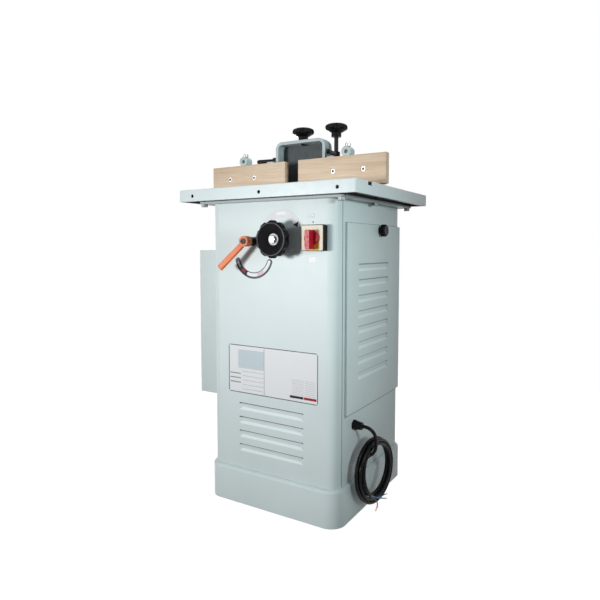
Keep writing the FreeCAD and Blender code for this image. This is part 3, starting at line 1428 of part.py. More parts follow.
def make_carrier(name, side, stud_x):
    inner, outer = S.carrier_inner, S.carrier_outer
    boss_x = boss_place(side)
    plate = box(name + "_plate", (outer - inner, S.carrier_plate, S.carrier_height),
                (span(side, inner, outer), CARRIER_FRONT, BOARD_BASE))
    half = S.tower_half_width
    base = FOOT_TOP + S.flat_gap
    tower = box(name + "_tower", (2 * half, S.tower_depth, TOWER_TOP - base),
                (side * stud_x - half, CARRIER_BACK, base))
    boss = rod(name + "_boss", S.boss_radius, S.boss_length, (boss_x, CARRIER_FRONT, BOSS_Z), "Y")
    shelf = BOARD_BASE + S.carrier_height - S.boss_root
    neck = box(name + "_neck", (2 * S.boss_neck, 2 * S.carrier_plate, BOSS_Z - shelf),
               (boss_x - S.boss_neck, CARRIER_FRONT, shelf))
    solid = fuse(name + "_solid", plate, tower, boss, neck)
    stud_slot = slot(name + "_stud_slot", S.stud_radius + S.bolt_gap, 2 * S.tower_height,
                     (side * stud_x, STUD_Y - S.carrier_back, base - foot_room()),
                     (side * stud_x, STUD_Y + S.carrier_forward, base - foot_room()))
    bore = rod(name + "_boss_bore", S.boss_bore, 2 * S.boss_length,
               (boss_x, CARRIER_FRONT - S.boss_length / 2, BOSS_Z), "Y")
    thread = rod(name + "_screw_hole", S.boss_screw_radius + S.run_gap, 2 * S.boss_radius,
                 (boss_x, boss_middle(), BOSS_Z))
    rise = BOARD_BASE + S.board_screw_rise
    reach = S.board_screw_radius + S.bolt_gap
    slots = []
    for i, x in enumerate((S.board_screw_inner, S.board_screw_outer)):
        near, far = x - S.board_in, x + S.board_out
        low = span(side, near, far)
        slots.append(box("%s_slot_%d" % (name, i), (far - near, 3 * S.carrier_plate, 2 * reach),
                         (low, CARRIER_FRONT - S.carrier_plate, rise - reach)))
        slots += [rod("%s_slot_%d_%d" % (name, i, k), reach, 3 * S.carrier_plate,
                      (side * end, CARRIER_FRONT - S.carrier_plate, rise), "Y")
                  for k, end in enumerate((near, far))]
    node(cut(name, solid, stud_slot, bore, thread, *slots))


def foot_room():
    """How far below the tower its slot cutter starts."""
    return S.tower_height / 2


def boss_middle():
    return CARRIER_FRONT + S.boss_length / 2


def make_boss_screw(name, side):
    top = BOSS_Z + S.boss_radius + S.curve_gap
    x, y = boss_place(side), boss_middle()
    shank_base = BOSS_Z + S.boss_bore
    shank = rod(name + "_shank", S.boss_screw_radius, top - shank_base, (x, y, shank_base))
    head, high = S.boss_screw_head, S.boss_screw_head_height
    outline = [(dim(0), dim(0)), (head, dim(0)), (head, high * 0.8), (head - high * 0.2, high),
               (dim(0), high)]
    cap = revolved(name + "_head", outline, (x, y, top))
    node(fuse(name, shank, cap))


def make_board(name, side):
    length = S.board_length
    low = span(side, S.board_half_gap, S.board_half_gap + length)
    blank = box(name + "_blank", (length, S.board_thick, S.board_height), (low, FENCE_Y, BOARD_BASE))
    soft = fillet(name + "_soft", blank, S.board_round, lambda edge: True)
    rise = BOARD_BASE + S.board_screw_rise
    holes = []
    for i, x in enumerate((S.board_screw_inner, S.board_screw_outer)):
        at = (side * x, FENCE_Y, rise)
        holes.append(rod("%s_hole_%d" % (name, i), S.board_screw_radius, S.board_thick, at, "Y"))
        holes.append(rod("%s_sink_%d" % (name, i), S.board_screw_head, S.board_screw_head_height, at, "Y"))
    node(cut(name, soft, *holes))


def make_board_screws(name, side):
    rise = BOARD_BASE + S.board_screw_rise
    screws = []
    for i, x in enumerate((S.board_screw_inner, S.board_screw_outer)):
        seat = (side * x, FENCE_Y + S.board_screw_head_height, rise)
        head = rod("%s_head_%d" % (name, i), S.board_screw_head, S.board_screw_head_height / 2, seat, "-Y")
        nut_at = (side * x, CARRIER_BACK + S.flat_gap, rise)
        nut = hexagon("%s_nut_%d" % (name, i), S.board_nut_radius, S.board_nut_height, nut_at, "Y")
        length = nut_at[1] - seat[1] + S.board_nut_height
        shank = rod("%s_shank_%d" % (name, i), S.board_screw_radius, length, seat, "Y")
        recess = hexagon("%s_recess_%d" % (name, i), S.board_screw_head / 2, S.board_screw_head_height,
                         along(seat, "-Y", S.board_screw_head_height / 4), "-Y")
        blank = fuse("%s_blank_%d" % (name, i), head, nut, shank)
        screws.append(cut("%s_screw_%d" % (name, i), blank, recess))
    node(group(name, screws))


def make_clamp_lever(name, x, angle):
    base = TOWER_TOP + S.curve_gap
    height = S.clamp_hub_height
    hub = rod(name + "_hub", S.clamp_hub_radius, height, (x, STUD_Y, base))
    turn = math.radians(float(angle))
    way = Vector(math.cos(turn), math.sin(turn), 0)
    root = [x, STUD_Y, base + height / 2]
    end = [dim(c) + S.clamp_arm_length * w for c, w in zip(root, way)]
    lean = FreeCAD.Rotation(Vector(0, 0, 1), way)
    arm = taper(name + "_arm", S.clamp_arm_neck, S.clamp_arm_end, S.clamp_arm_length, root, turn=lean)
    solid = fuse(name + "_solid", hub, arm, ball(name + "_tip", S.clamp_arm_end, end, lean))
    bore = rod(name + "_bore", S.stud_radius + S.run_gap, 2 * height, (x, STUD_Y, base - height / 2))
    node(cut(name, solid, bore))


def star_lobes():
    return S.star_lobe_radius, S.star_lobe_depth, S.star_lobes


def make_star_knobs():
    seat = (S.right_stud_x, STUD_Y, TABLE_TOP + S.infeed_knob_rise)
    node(lobed_knob("infeed_knob", S.star_radius, S.star_hub, S.star_neck, S.star_height,
                    S.stud_radius + S.run_gap, S.star_socket, star_lobes(), seat))
    top = (0, HOOD_FRONT + S.hood_depth / 2, HOOD_TOP + S.curve_gap)
    knob = lobed_knob("hood_knob_star", S.star_radius, S.star_hub, S.star_neck, S.star_height,
                      S.stud_radius, S.star_socket, star_lobes(), top)
    stud = rod("hood_knob_stud", S.stud_radius, S.hood_stud_length + S.star_socket,
               along(top, "Z", -S.hood_stud_length))
    node(fuse("hood_knob", knob, stud))


# Mains lead

def make_gland():
    at = gland_seat()
    nut = hexagon("gland_nut", S.gland_nut_radius, S.gland_nut_length, at, "X")
    dome = taper("gland_dome", S.gland_nut_radius * 0.85, S.gland_end_radius, S.gland_dome_length,
                 along(at, "X", S.gland_nut_length), "X")
    depth = S.sheet_steel + S.gland_lock_length + 2
    shank = rod("gland_shank", S.gland_shank_radius, depth, along(at, "X", -depth), "X")
    lock = hexagon("gland_lock", S.gland_lock_radius, S.gland_lock_length,
                   along(at, "X", -S.sheet_steel - S.gland_lock_length), "X")
    node(fuse("cord_gland", nut, dome, shank, lock))


def arc_by_tangent(start, tangent, end):
    """The arc that leaves a point along a tangent and ends at another point."""
    chord = end - start
    half = chord.Length / 2
    unit = Vector(chord)
    unit.normalize()
    lean = tangent - unit * (tangent * unit)
    if lean.Length < 1e-6:
        return Part.makeLine(start, end)
    lean.normalize()
    bend = math.acos(max(-1.0, min(1.0, tangent * unit)))
    middle = start + chord * 0.5 + lean * (half * math.tan(bend / 2))
    return Part.Arc(start, middle, end).toShape()


def biarc(start, tangent, end, end_tangent):
    """Two arcs that join two points with given tangents."""
    gap = end - start
    both = tangent + end_tangent
    spread = 2 * (1 - tangent * end_tangent)
    along_both = gap * both
    reach = (math.sqrt(along_both ** 2 + spread * (gap * gap)) - along_both) / spread
    joint = (start + end + (tangent - end_tangent) * reach) * 0.5
    leg = joint - (start + tangent * reach)
    leg.normalize()
    return [arc_by_tangent(start, tangent, joint), arc_by_tangent(joint, leg, end)]


COIL_LEAN = math.radians(8)
COIL_START = math.radians(155)
COIL_ACROSS = Vector(math.sin(COIL_LEAN), math.cos(COIL_LEAN), 0)
COIL_UP = Vector(0, 0, 1)
COIL_OUT = COIL_ACROSS.cross(COIL_UP)


def gland_seat():
    """Where the gland stands on the right side."""
    return SIDE, PANEL_FRONT + S.gland_front, CABINET_BASE + S.gland_rise


def hung(across, up, out):
    """A point given from the middle of the hanging coil, which hangs below the gland."""
    x, y, z = gland_seat()
    middle = point((x + S.coil_out, y + S.coil_back, z - S.coil_drop))
    return middle + COIL_ACROSS * across + COIL_UP * up + COIL_OUT * out


def eased(share):
    """A smooth step from 0 to 1."""
    share = min(max(share, 0.0), 1.0)
    return share * share * (3 - 2 * share)


def coil_point(turns):
    """Centre of the hanging lead after some turns: it winds out in the layer at the wall, then back in."""
    whole, pitch = float(S.coil_turns), float(S.coil_pitch)
    half = whole / 2
    entry = 1 - eased(turns / 0.35)
    climb = eased((turns - half + 0.25) / 0.5) - 0.5
    leave = eased((turns - whole + 0.35) / 0.35)
    radius = float(S.coil_radius) - pitch * abs(turns - half) - float(S.coil_dip) * entry
    angle = COIL_START + 2 * math.pi * turns
    return hung(radius * math.cos(angle), radius * math.sin(angle), pitch * (climb + leave))


def coil_tangent(turns):
    step = 1e-4
    way = coil_point(turns + step) - coil_point(turns - step)
    way.normalize()
    return way


def swept(name, path, radius):
    """A round tube along a smooth path, whose volume is compared with its section times its length."""
    first = path.Edges[0]
    start = first.valueAt(first.FirstParameter)
    way = first.tangentAt(first.FirstParameter)
    ring = Part.Wire([Part.makeCircle(radius, start, way)])
    solid = path.makePipeShell([ring], True, False)
    ideal = math.pi * radius ** 2 * path.Length
    print("%s: length %.1f, volume ratio %.4f" % (name, path.Length, solid.Volume / ideal))
    return solid


def rounded_path(points):
    """Straight runs joined by tangent arcs as large as the runs allow; prints the arcs' radii."""
    edges = []
    radii = []
    last = points[0]
    for before, corner, after in zip(points, points[1:], points[2:]):
        into, out = corner - before, after - corner
        cut_back = 0.45 * min(into.Length, out.Length)
        turn = into.getAngle(out)
        into.normalize()
        out.normalize()
        start, end = corner - into * cut_back, corner + out * cut_back
        edges.append(Part.makeLine(last, start))
        edges.append(arc_by_tangent(start, into, end))
        radii.append(cut_back / math.tan(turn / 2))
        last = end
    edges.append(Part.makeLine(last, points[-1]))
    print("bend radii", [round(radius, 1) for radius in radii])
    return Part.Wire(edges)


def solid_node(name, shape):
    obj = DOC.addObject("Part::Feature", name)
    obj.Shape = shape
    node(obj)


def make_cord():
    radius = float(S.cord_radius)
    out = point(along(gland_seat(), "X", S.gland_nut_length + S.gland_dome_length))
    head, heading = coil_point(0.0), coil_tangent(0.0)
    lead = [out, out + Vector(13, 0, 0), hung(-35, 112, 15.5), hung(-26, 97, 19), hung(-20, 76, 18),
            hung(-19, 53, 13), head - heading * 22, head]
    solid_node("cord_lead", swept("cord_lead", rounded_path(lead), radius))
    count = round(4 * float(S.coil_turns))
    stops = [i * float(S.coil_turns) / count for i in range(count + 1)]
    arcs = []
    for a, b in zip(stops, stops[1:]):
        arcs += biarc(coil_point(a), coil_tangent(a), coil_point(b), coil_tangent(b))
    solid_node("cord_coil", swept("cord_coil", Part.Wire(arcs), radius))
    samples = [coil_point(i / 60) for i in range(round(60 * float(S.coil_turns)) + 1)]
    gaps = [(p - q).Length for i, p in enumerate(samples) for q in samples[i + 20:]]
    print("least gap of the coil to itself: %.2f" % (min(gaps) - 2 * radius))
    make_cores(coil_point(stops[-1]), coil_tangent(stops[-1]))


def make_cores(tail, way):
    """Three stripped cores that splay out of the lead's end."""
    radius = float(S.core_radius)
    routes = [[hung(-7, -66, 19), hung(10, -72, 20.5), hung(26, -78, 21)],
              [hung(-7, -62, 22), hung(8, -60, 24.5), hung(20, -63, 25)],
              [hung(-16, -71, 20), hung(-24, -82, 24), hung(-35, -86, 26)]]
    cores = []
    below = COIL_OUT.cross(way)
    for i, route in enumerate(routes):
        angle = 2 * math.pi * i / len(routes)
        start = tail + (COIL_OUT * math.sin(angle) + below * math.cos(angle)) * (radius * 1.35)
        points = [start, start + way * 14] + route
        cores.append(swept("core_%d" % i, rounded_path(points), radius))
    solid_node("cord_cores", Part.makeCompound(cores))


def build():
    make_plinth()
    shell = cabinet_tube()
    make_front_panel(shell)
    make_cabinet_shell(shell)
    make_access_panel()
    make_access_knob()
    make_motor_cover()
    make_cover_screws()
    make_top_plate()
    make_table_bolts()
    make_table()
    make_table_rings()
    make_spindle()
    make_spindle_collars()
    make_quill()
    make_bearings()
    make_housing()
    make_housing_bolts()
    make_rack()
    make_pinion_shaft()
    make_shaft_bushes()
    make_handwheel()
    make_handwheel_nut()
    make_lock()
    make_switch()
    make_hole_plug()
    make_motor_bracket()
    make_motor()
    make_pulley("spindle_pulley", S.spindle_pulley_radius, S.tail_radius, (0, SPINDLE_Y, PULLEY_BASE))
    make_pulley("motor_pulley", S.motor_pulley_radius, S.motor_shaft_radius, (MOTOR_X, MOTOR_Y, PULLEY_BASE))
    make_belt()
    make_fence_casting()
    make_fence_studs()
    make_fence_bolts()
    for side, word, stud in ((-1, "left", S.left_stud_x), (1, "right", S.right_stud_x)):
        make_carrier(word + "_carrier", side, stud)
        make_boss_screw(word + "_boss_screw", side)
        make_board(word + "_board", side)
        make_board_screws(word + "_board_screws", side)
    make_clamp_lever("left_clamp_lever", -S.left_stud_x, S.left_clamp_angle)
    make_clamp_lever("right_clamp_lever", S.right_stud_x, S.right_clamp_angle)
    make_star_knobs()
    make_gland()
    make_cord()


def check_and_write():
    DOC.recompute()
    failed = [obj.Name for obj in DOC.Objects if "Invalid" in obj.State or "Error" in obj.State]
    if failed:
        raise RuntimeError("failed objects: " + ", ".join(failed))
    for obj in NODES:
        if obj.Shape.isNull() or not obj.Shape.isValid() or not obj.Shape.Solids:
            raise RuntimeError("bad shape: " + obj.Label)
    os.makedirs("parts", exist_ok=True)
    for obj in NODES:
        obj.Shape.exportStep("parts/%s.step" % obj.Label)
    print(len(NODES), "sub-parts")


build()
check_and_write()
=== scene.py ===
import math

import bmesh
import bpy
from mathutils import Matrix, Vector


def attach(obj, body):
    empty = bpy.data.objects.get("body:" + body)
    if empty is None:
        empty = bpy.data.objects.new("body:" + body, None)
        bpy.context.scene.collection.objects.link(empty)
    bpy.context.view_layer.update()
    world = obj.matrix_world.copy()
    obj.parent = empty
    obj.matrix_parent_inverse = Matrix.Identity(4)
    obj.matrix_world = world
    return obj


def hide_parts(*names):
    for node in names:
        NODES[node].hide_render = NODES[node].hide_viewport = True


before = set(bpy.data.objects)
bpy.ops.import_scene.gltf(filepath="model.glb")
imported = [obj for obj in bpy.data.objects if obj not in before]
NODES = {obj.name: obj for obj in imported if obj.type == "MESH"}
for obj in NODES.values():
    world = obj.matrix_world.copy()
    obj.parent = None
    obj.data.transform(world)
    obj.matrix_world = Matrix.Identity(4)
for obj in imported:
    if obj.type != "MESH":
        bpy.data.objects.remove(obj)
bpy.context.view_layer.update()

scene = bpy.context.scene
scene.view_settings.view_transform = "Standard"
MM = 0.001


# Material graphs


def shade(colour, factor):
    return tuple(c * factor for c in colour)


class Look:
    """One procedural material, whose patterns lie in the part's own frame, in metres."""

    def __init__(self, name):
        self.material = bpy.data.materials.new(name)
        self.material.use_nodes = True
        self.tree = self.material.node_tree
        self.shader = self.tree.nodes["Principled BSDF"]
        self.place = self.new("ShaderNodeTexCoord").outputs["Object"]

    def new(self, kind, **props):
        made = self.tree.nodes.new(kind)
        for key, value in props.items():
            setattr(made, key, value)
        return made

    def feed(self, socket, value):
        """Links a socket to another one, or sets its value."""
        if isinstance(value, bpy.types.NodeSocket):
            self.tree.links.new(value, socket)
        elif isinstance(value, tuple) and len(value) == 3 and socket.type == "RGBA":
            socket.default_value = (*value, 1.0)
        else:
            socket.default_value = value

    def put(self, name, value):
        self.feed(self.shader.inputs[name], value)

    def math(self, operation, a, b=0.0):
        made = self.new("ShaderNodeMath", operation=operation)
        self.feed(made.inputs[0], a)
        self.feed(made.inputs[1], b)
        return made.outputs[0]

    def noise(self, scale, detail, stretch=(1, 1, 1), distort=0.0, shift=(0, 0, 0)):
        spot = self.new("ShaderNodeMapping")
        self.feed(spot.inputs["Vector"], self.place)
        spot.inputs["Scale"].default_value = stretch
        spot.inputs["Location"].default_value = shift
        made = self.new("ShaderNodeTexNoise")
        self.feed(made.inputs["Vector"], spot.outputs[0])
        made.inputs["Scale"].default_value = scale
        made.inputs["Detail"].default_value = detail
        made.inputs["Distortion"].default_value = distort
        return made.outputs["Fac"]

    def ramp(self, share, *stops):
        made = self.new("ShaderNodeValToRGB")
        self.feed(made.inputs[0], share)
        rows = made.color_ramp.elements
        while len(rows) < len(stops):
            rows.new(0.5)
        for row, (at, colour) in zip(rows, stops):
            row.position = at
            row.color = (*colour, 1.0)
        return made.outputs[0]

    def tones(self, share, colour, low, high):
        """A colour that drifts between two strengths of itself."""
        return self.ramp(share, (0.3, shade(colour, low)), (0.7, shade(colour, high)))

    def span(self, share, low, high, start=0.3, end=0.7):
        """Goes from low to high while the share goes from start to end."""
        made = self.new("ShaderNodeMapRange")
        self.feed(made.inputs["Value"], share)
        for key, value in (("From Min", start), ("From Max", end), ("To Min", low), ("To Max", high)):
            made.inputs[key].default_value = value
        return made.outputs[0]

    def mix(self, share, a, b):
        made = self.new("ShaderNodeMix", data_type="RGBA")
        self.feed(made.inputs["Factor"], share)
        colours = [s for s in made.inputs if s.type == "RGBA"]
        self.feed(colours[0], a)
        self.feed(colours[1], b)
        return [s for s in made.outputs if s.type == "RGBA"][0]

    def axes(self):
        made = self.new("ShaderNodeSeparateXYZ")
        self.feed(made.inputs[0], self.place)
        return made.outputs

    def upward(self):
        """How far a face looks up: 1 for a top, -1 for an underside."""
        made = self.new("ShaderNodeSeparateXYZ")
        self.feed(made.inputs[0], self.new("ShaderNodeNewGeometry").outputs["Normal"])
        return made.outputs["Z"]

    def above(self, value, limit):
        return self.math("GREATER_THAN", value, limit)

    def below(self, value, limit):
        return self.math("LESS_THAN", value, limit)

    def within(self, value, middle, half):
        return self.below(self.math("ABSOLUTE", self.math("SUBTRACT", value, middle)), half)

    def away(self, *offsets):
        """The distance that offsets along the axes add up to."""
        squares = [self.math("MULTIPLY", gap, gap) for gap in offsets]
        total = squares[0]
        for square in squares[1:]:
            total = self.math("ADD", total, square)
        return self.math("SQRT", total)

    def from_axis(self, x_at, z_at):
        """The distance from a line along Y."""
        x, _, z = self.axes()
        return self.away(self.math("SUBTRACT", x, x_at), self.math("SUBTRACT", z, z_at))

    def every(self, first, *others):
        for mask in others:
            first = self.math("MULTIPLY", first, mask)
        return first

    def either(self, first, *others):
        for mask in others:
            first = self.math("MAXIMUM", first, mask)
        return first

    def relief(self, height, depth, edge=0.0):
        """Bump of a depth, over edges that look rounded by a radius."""
        made = self.new("ShaderNodeBump")
        self.feed(made.inputs["Height"], height)
        made.inputs["Distance"].default_value = depth
        if edge:
            soft = self.new("ShaderNodeBevel", samples=6)
            soft.inputs["Radius"].default_value = edge
            self.feed(made.inputs["Normal"], soft.outputs[0])
        self.put("Normal", made.outputs[0])


# Cabinet paint, with painted shade in the slits and in the lines that the sheets leave between them,
# and a painted highlight on the louvre slopes. In the looks, a pair along one axis is the middle of a
# range and half its width. Slits are the lowest one's height, their pitch and their count.

FRONT = -0.195
SIDE = 0.1875
SKIN = 0.0004
# Near black painted into slits and seams as shade; louvre slopes are painted lighter as a highlight.
GAP_SHADE = (0.03, 0.034, 0.036)
RUBBED = 0.72
LOUVRE_HIGHLIGHT = 1.22
LOUVRE_RISE = 0.15
FRONT_SLITS = (0.1551, 0.0363, 4)
FRONT_SLIT_X = (0.0, 0.1)
ACCESS_SLITS = (0.3545, 0.0388, 8)
ACCESS_SLIT_Y = (0.0045, 0.0955)
SLIT_DEEP = 0.0032
SLIT_LIFT = 0.0003
SEAM_Y = (-0.16575, 0.0024)
SEAM_X = (SIDE - 0.002, 0.0015)
ACCESS_FACE = 0.1925
ACCESS_FRONT = -0.1515
ACCESS_HALF = 0.16525
ACCESS_Y = ACCESS_FRONT + ACCESS_HALF
ACCESS_FOOT = 0.261
ACCESS_HEAD = 0.7245
ACCESS_RIM = 0.001
ACCESS_LINE = 0.002
ACCESS_SHADE = 0.6
LINE_SHADE = 0.5
SHELL_SKIN = 0.0005
DOWNWARD = -0.5


def enamel(name, colour, rough=0.4, peel=0.00003, edge=0.0009, gaps=None):
    """Sprayed enamel: a faint drift of tone, handling marks and orange peel, with painted shade in its
    slits and seams and a painted highlight on louvre slopes.
    """
    look = Look(name)
    drift = look.tones(look.noise(scale=5, detail=3), colour, low=0.965, high=1.02)
    marks = look.noise(scale=26, detail=5, distort=0.6)
    rub = look.span(marks, low=0.0, high=0.05, start=0.55, end=0.8)
    paint = look.mix(rub, drift, shade(colour, RUBBED))
    if gaps:
        # Painted highlight on the louvre slopes, then painted shade in the slits and seams.
        gap, slope = gaps(look)
        if slope is not None:
            paint = look.mix(slope, paint, shade(colour, LOUVRE_HIGHLIGHT))
        paint = look.mix(gap, paint, GAP_SHADE)
    look.put("Base Color", paint)
    look.put("Roughness", look.span(look.noise(scale=34, detail=4), rough - 0.02, rough + 0.04))
    look.put("Specular IOR Level", 0.2)
    look.relief(look.noise(scale=620, detail=2), peel, edge)
    return look.material


def slit_mask(look, rise, slits):
    """True just under each pressed slit of a row that starts at the lowest one, where shade is painted."""
    lowest, pitch, count = slits
    share = look.math("DIVIDE", look.math("SUBTRACT", rise, lowest + SLIT_LIFT - pitch), pitch)
    low = look.above(look.math("FRACT", share), 1 - SLIT_DEEP / pitch)
    return look.every(low, look.within(share, count / 2, count / 2))


def seam_mask(look, x, y):
    """True in the upright seam between the front panel and the shell, where shade is painted."""
    return look.every(look.within(y, *SEAM_Y), look.within(x, *SEAM_X))


def front_gaps(look):
    """Painted shade in the slits of the front panel and in the seam, and a painted highlight on the
    louvres' slopes.
    """
    x, y, z = look.axes()
    row = look.every(look.above(y, FRONT + SKIN), look.within(x, *FRONT_SLIT_X))
    slits = look.every(slit_mask(look, z, FRONT_SLITS), row)
    slope = look.every(row, look.above(look.upward(), LOUVRE_RISE))
    return look.either(slits, seam_mask(look, x, y)), slope


def access_gaps(look):
    """Painted shade in the slits and on the lower rim of the access panel, and a painted highlight on the
    louvres' slopes.
    """
    x, y, z = look.axes()
    rise = look.upward()
    row = look.every(look.below(x, ACCESS_FACE - SKIN), look.within(y, *ACCESS_SLIT_Y))
    slits = look.every(slit_mask(look, z, ACCESS_SLITS), row)
    slope = look.every(row, look.above(rise, LOUVRE_RISE))
    # The downward faces of the lower rim are painted dark as shade.
    foot = look.every(look.below(rise, DOWNWARD), look.below(z, ACCESS_FOOT + ACCESS_RIM))
    return look.math("MULTIPLY", look.either(slits, foot), ACCESS_SHADE), slope


def shell_gaps(look):
    """Painted shade in the upright seam, and a painted shadow line round the access panel."""
    x, y, z = look.axes()
    beside = look.either(look.within(y, ACCESS_FRONT, ACCESS_LINE),
                         look.below(z, ACCESS_FOOT),
                         look.within(z, ACCESS_HEAD, ACCESS_LINE))
    around = look.every(look.within(y, ACCESS_Y, ACCESS_HALF + ACCESS_LINE),
                        beside,
                        look.above(z, ACCESS_FOOT - 3 * ACCESS_LINE),
                        look.below(z, ACCESS_HEAD + ACCESS_LINE))
    outside = look.above(x, SIDE - SHELL_SKIN)
    # A band round the access panel darkened by half as painted shadow.
    line = look.math("MULTIPLY", look.every(around, outside), LINE_SHADE)
    return look.either(seam_mask(look, x, y), line), None


# Castings, table and metal

# Near black for the painted shade on the hood's back wall.
HOOD_BACK_SHADE = (0.07, 0.085, 0.09)
SPECK_SHADE = 0.7
STAIN_SHADE = 0.6
TABLE_FRONT = -0.24
TABLE_UP = 0.9
TABLE_GROUND = 0.804
TABLE_HOLLOW_X = (0.0, 0.2475)
TABLE_HOLLOW_Y = (-0.0115, 0.219)
TABLE_HOLLOW_TOP = 0.8012
SLOT_Y = (-0.1695, 0.0097)
SLOT_Z = (0.81, 0.0046)
EDGE_HOLE_X = 0.2115
EDGE_HOLE_Y = (TABLE_FRONT + 0.0062, 0.0058)
EDGE_HOLE_Z = 0.798
EDGE_HOLE_RADIUS = 0.0046
GROUND_METALLIC = 0.5
GROUND_DARK = (0.42, 0.43, 0.44)
GROUND_LIGHT = (0.62, 0.63, 0.64)
SCALE_SHADE_DARK = (0.028, 0.03, 0.031)
SCALE_SHADE_LIGHT = (0.05, 0.053, 0.054)
LINE_DEPTH = 0.000015
SOCKET_SHADE = (0.012, 0.012, 0.013)
WASHER_LINE_SHADE = (0.03, 0.03, 0.032)
WASHER_SHADE = 0.42


def cast_enamel(name, colour, shaded_back=None):
    """Painted casting: the sand's grain shows through the paint; a hollow in it gets a near black painted
    shade.
    """
    look = Look(name)
    tone = look.tones(look.noise(scale=9, detail=4), colour, low=0.93, high=1.03)
    speck = look.span(look.noise(scale=240, detail=3), low=0.0, high=0.12, start=0.6, end=0.78)
    paint = look.mix(speck, tone, shade(colour, SPECK_SHADE))
    if shaded_back:
        hollow = look.every(*[look.within(value, *limits) for value, limits in zip(look.axes(), shaded_back)])
        # Painted shade on the back wall within the hood.
        bare = look.tones(look.noise(scale=40, detail=4), HOOD_BACK_SHADE, low=0.8, high=1.15)
        paint = look.mix(hollow, paint, bare)
    look.put("Base Color", paint)
    look.put("Roughness", look.span(look.noise(scale=60, detail=3), low=0.46, high=0.55))
    look.put("Specular IOR Level", 0.22)
    look.relief(look.noise(scale=330, detail=4), depth=0.00012, edge=0.0014)
    return look.material


def table_look(name, paint):
    """Painted casting with a ground top, whose grinding runs along the table; its underside, slot, hollow
    and edge holes are bare scale darkened to near black as painted shade.
    """
    look = Look(name)
    tone = look.tones(look.noise(scale=7, detail=3), paint, low=0.95, high=1.02)
    grind = look.noise(scale=60, detail=4, stretch=(1, 45, 1))
    ground = look.ramp(grind, (0.25, GROUND_DARK), (0.75, GROUND_LIGHT))
    x, y, z = look.axes()
    upward = look.upward()
    top = look.every(look.above(upward, TABLE_UP), look.above(z, TABLE_GROUND))
    under = look.below(upward, DOWNWARD)
    groove = look.every(look.within(y, *SLOT_Y), look.within(z, *SLOT_Z))
    hollow = look.every(look.within(x, *TABLE_HOLLOW_X), look.within(y, *TABLE_HOLLOW_Y),
                        look.below(z, TABLE_HOLLOW_TOP))
    drilled = [look.below(look.from_axis(at, EDGE_HOLE_Z), EDGE_HOLE_RADIUS)
               for at in (-EDGE_HOLE_X, 0.0, EDGE_HOLE_X)]
    holes = look.every(look.either(*drilled), look.within(y, *EDGE_HOLE_Y))
    shaded_parts = look.either(under, groove, hollow, holes)
    # Near black for the underside, slot, hollow and holes: bare scale with painted shade.
    scale = look.ramp(look.noise(scale=50, detail=4), (0.3, SCALE_SHADE_DARK), (0.7, SCALE_SHADE_LIGHT))
    look.put("Base Color", look.mix(shaded_parts, look.mix(top, tone, ground), scale))
    look.put("Metallic", look.math("MULTIPLY", top, GROUND_METALLIC))
    look.put("Roughness", look.span(look.noise(scale=90, detail=4), low=0.3, high=0.44))
    look.relief(look.noise(scale=420, detail=3), depth=0.00005, edge=0.0012)
    return look.material


def steel(name, colour, rough):
    """Machined steel: fine lines, with stains that dull it here and there."""
    look = Look(name)
    lines = look.noise(scale=500, detail=3)
    tone = look.tones(lines, colour, low=0.82, high=1.08)
    stain = look.span(look.noise(scale=45, detail=4), low=0.0, high=0.25, start=0.52, end=0.75)
    look.put("Base Color", look.mix(stain, tone, shade(colour, STAIN_SHADE)))
    look.put("Metallic", 1.0)
    look.put("Roughness", look.span(look.noise(scale=120, detail=4), rough - 0.06, rough + 0.14))
    look.relief(lines, LINE_DEPTH, edge=0.0004)
    return look.material


def screw_look(name, colour, spots, rise, socket):
    """Bright screws, whose sockets are painted dark as shade."""
    look = Look(name)
    lines = look.noise(scale=500, detail=3)
    tone = look.tones(lines, colour, low=0.85, high=1.08)
    # The sockets get painted shade, near black and not metallic.
    dark = look.either(*[look.below(look.from_axis(at, rise), socket) for at in spots])
    look.put("Base Color", look.mix(dark, tone, SOCKET_SHADE))
    look.put("Metallic", look.span(dark, low=1.0, high=0.0, start=0.0, end=1.0))
    look.put("Roughness", look.span(look.noise(scale=120, detail=4), low=0.4, high=0.55))
    look.relief(lines, LINE_DEPTH, edge=0.0002)
    return look.material


def nut_look(name, colour, axis, edge, half):
    """A nut on its washer: the line between them is painted dark as shade."""
    look = Look(name)
    lines = look.noise(scale=500, detail=3)
    tone = look.tones(lines, colour, low=0.85, high=1.08)
    out = look.from_axis(*axis)
    washer = look.mix(look.above(out, edge), tone, shade(colour, WASHER_SHADE))
    look.put("Base Color", look.mix(look.within(out, edge, half), washer, WASHER_LINE_SHADE))
    look.put("Metallic", 0.9)
    look.put("Roughness", look.span(look.noise(scale=120, detail=4), low=0.45, high=0.6))
    look.relief(lines, LINE_DEPTH, edge=0.0004)
    return look.material


# Plastic, rubber, wood and print

WHEEL_RING = (0.13, 0.133, 0.137)
DUST_LIFT = 0.008
SCUFF_GAIN = 2
SCUFF_LIFT = 0.006
WORN_SHARE = 0.5
WORN_LIFT = 0.3
COPPER_DARK = (0.5, 0.2, 0.08)
COPPER_LIGHT = (0.86, 0.45, 0.22)
OAK_RINGS = ((0.28, (0.56, 0.4, 0.262)), (0.5, (0.665, 0.51, 0.365)), (0.72, (0.725, 0.59, 0.44)))
OAK_FIBRE = (0.5, 0.345, 0.215)
OAK_PORE = (0.33, 0.2, 0.1)


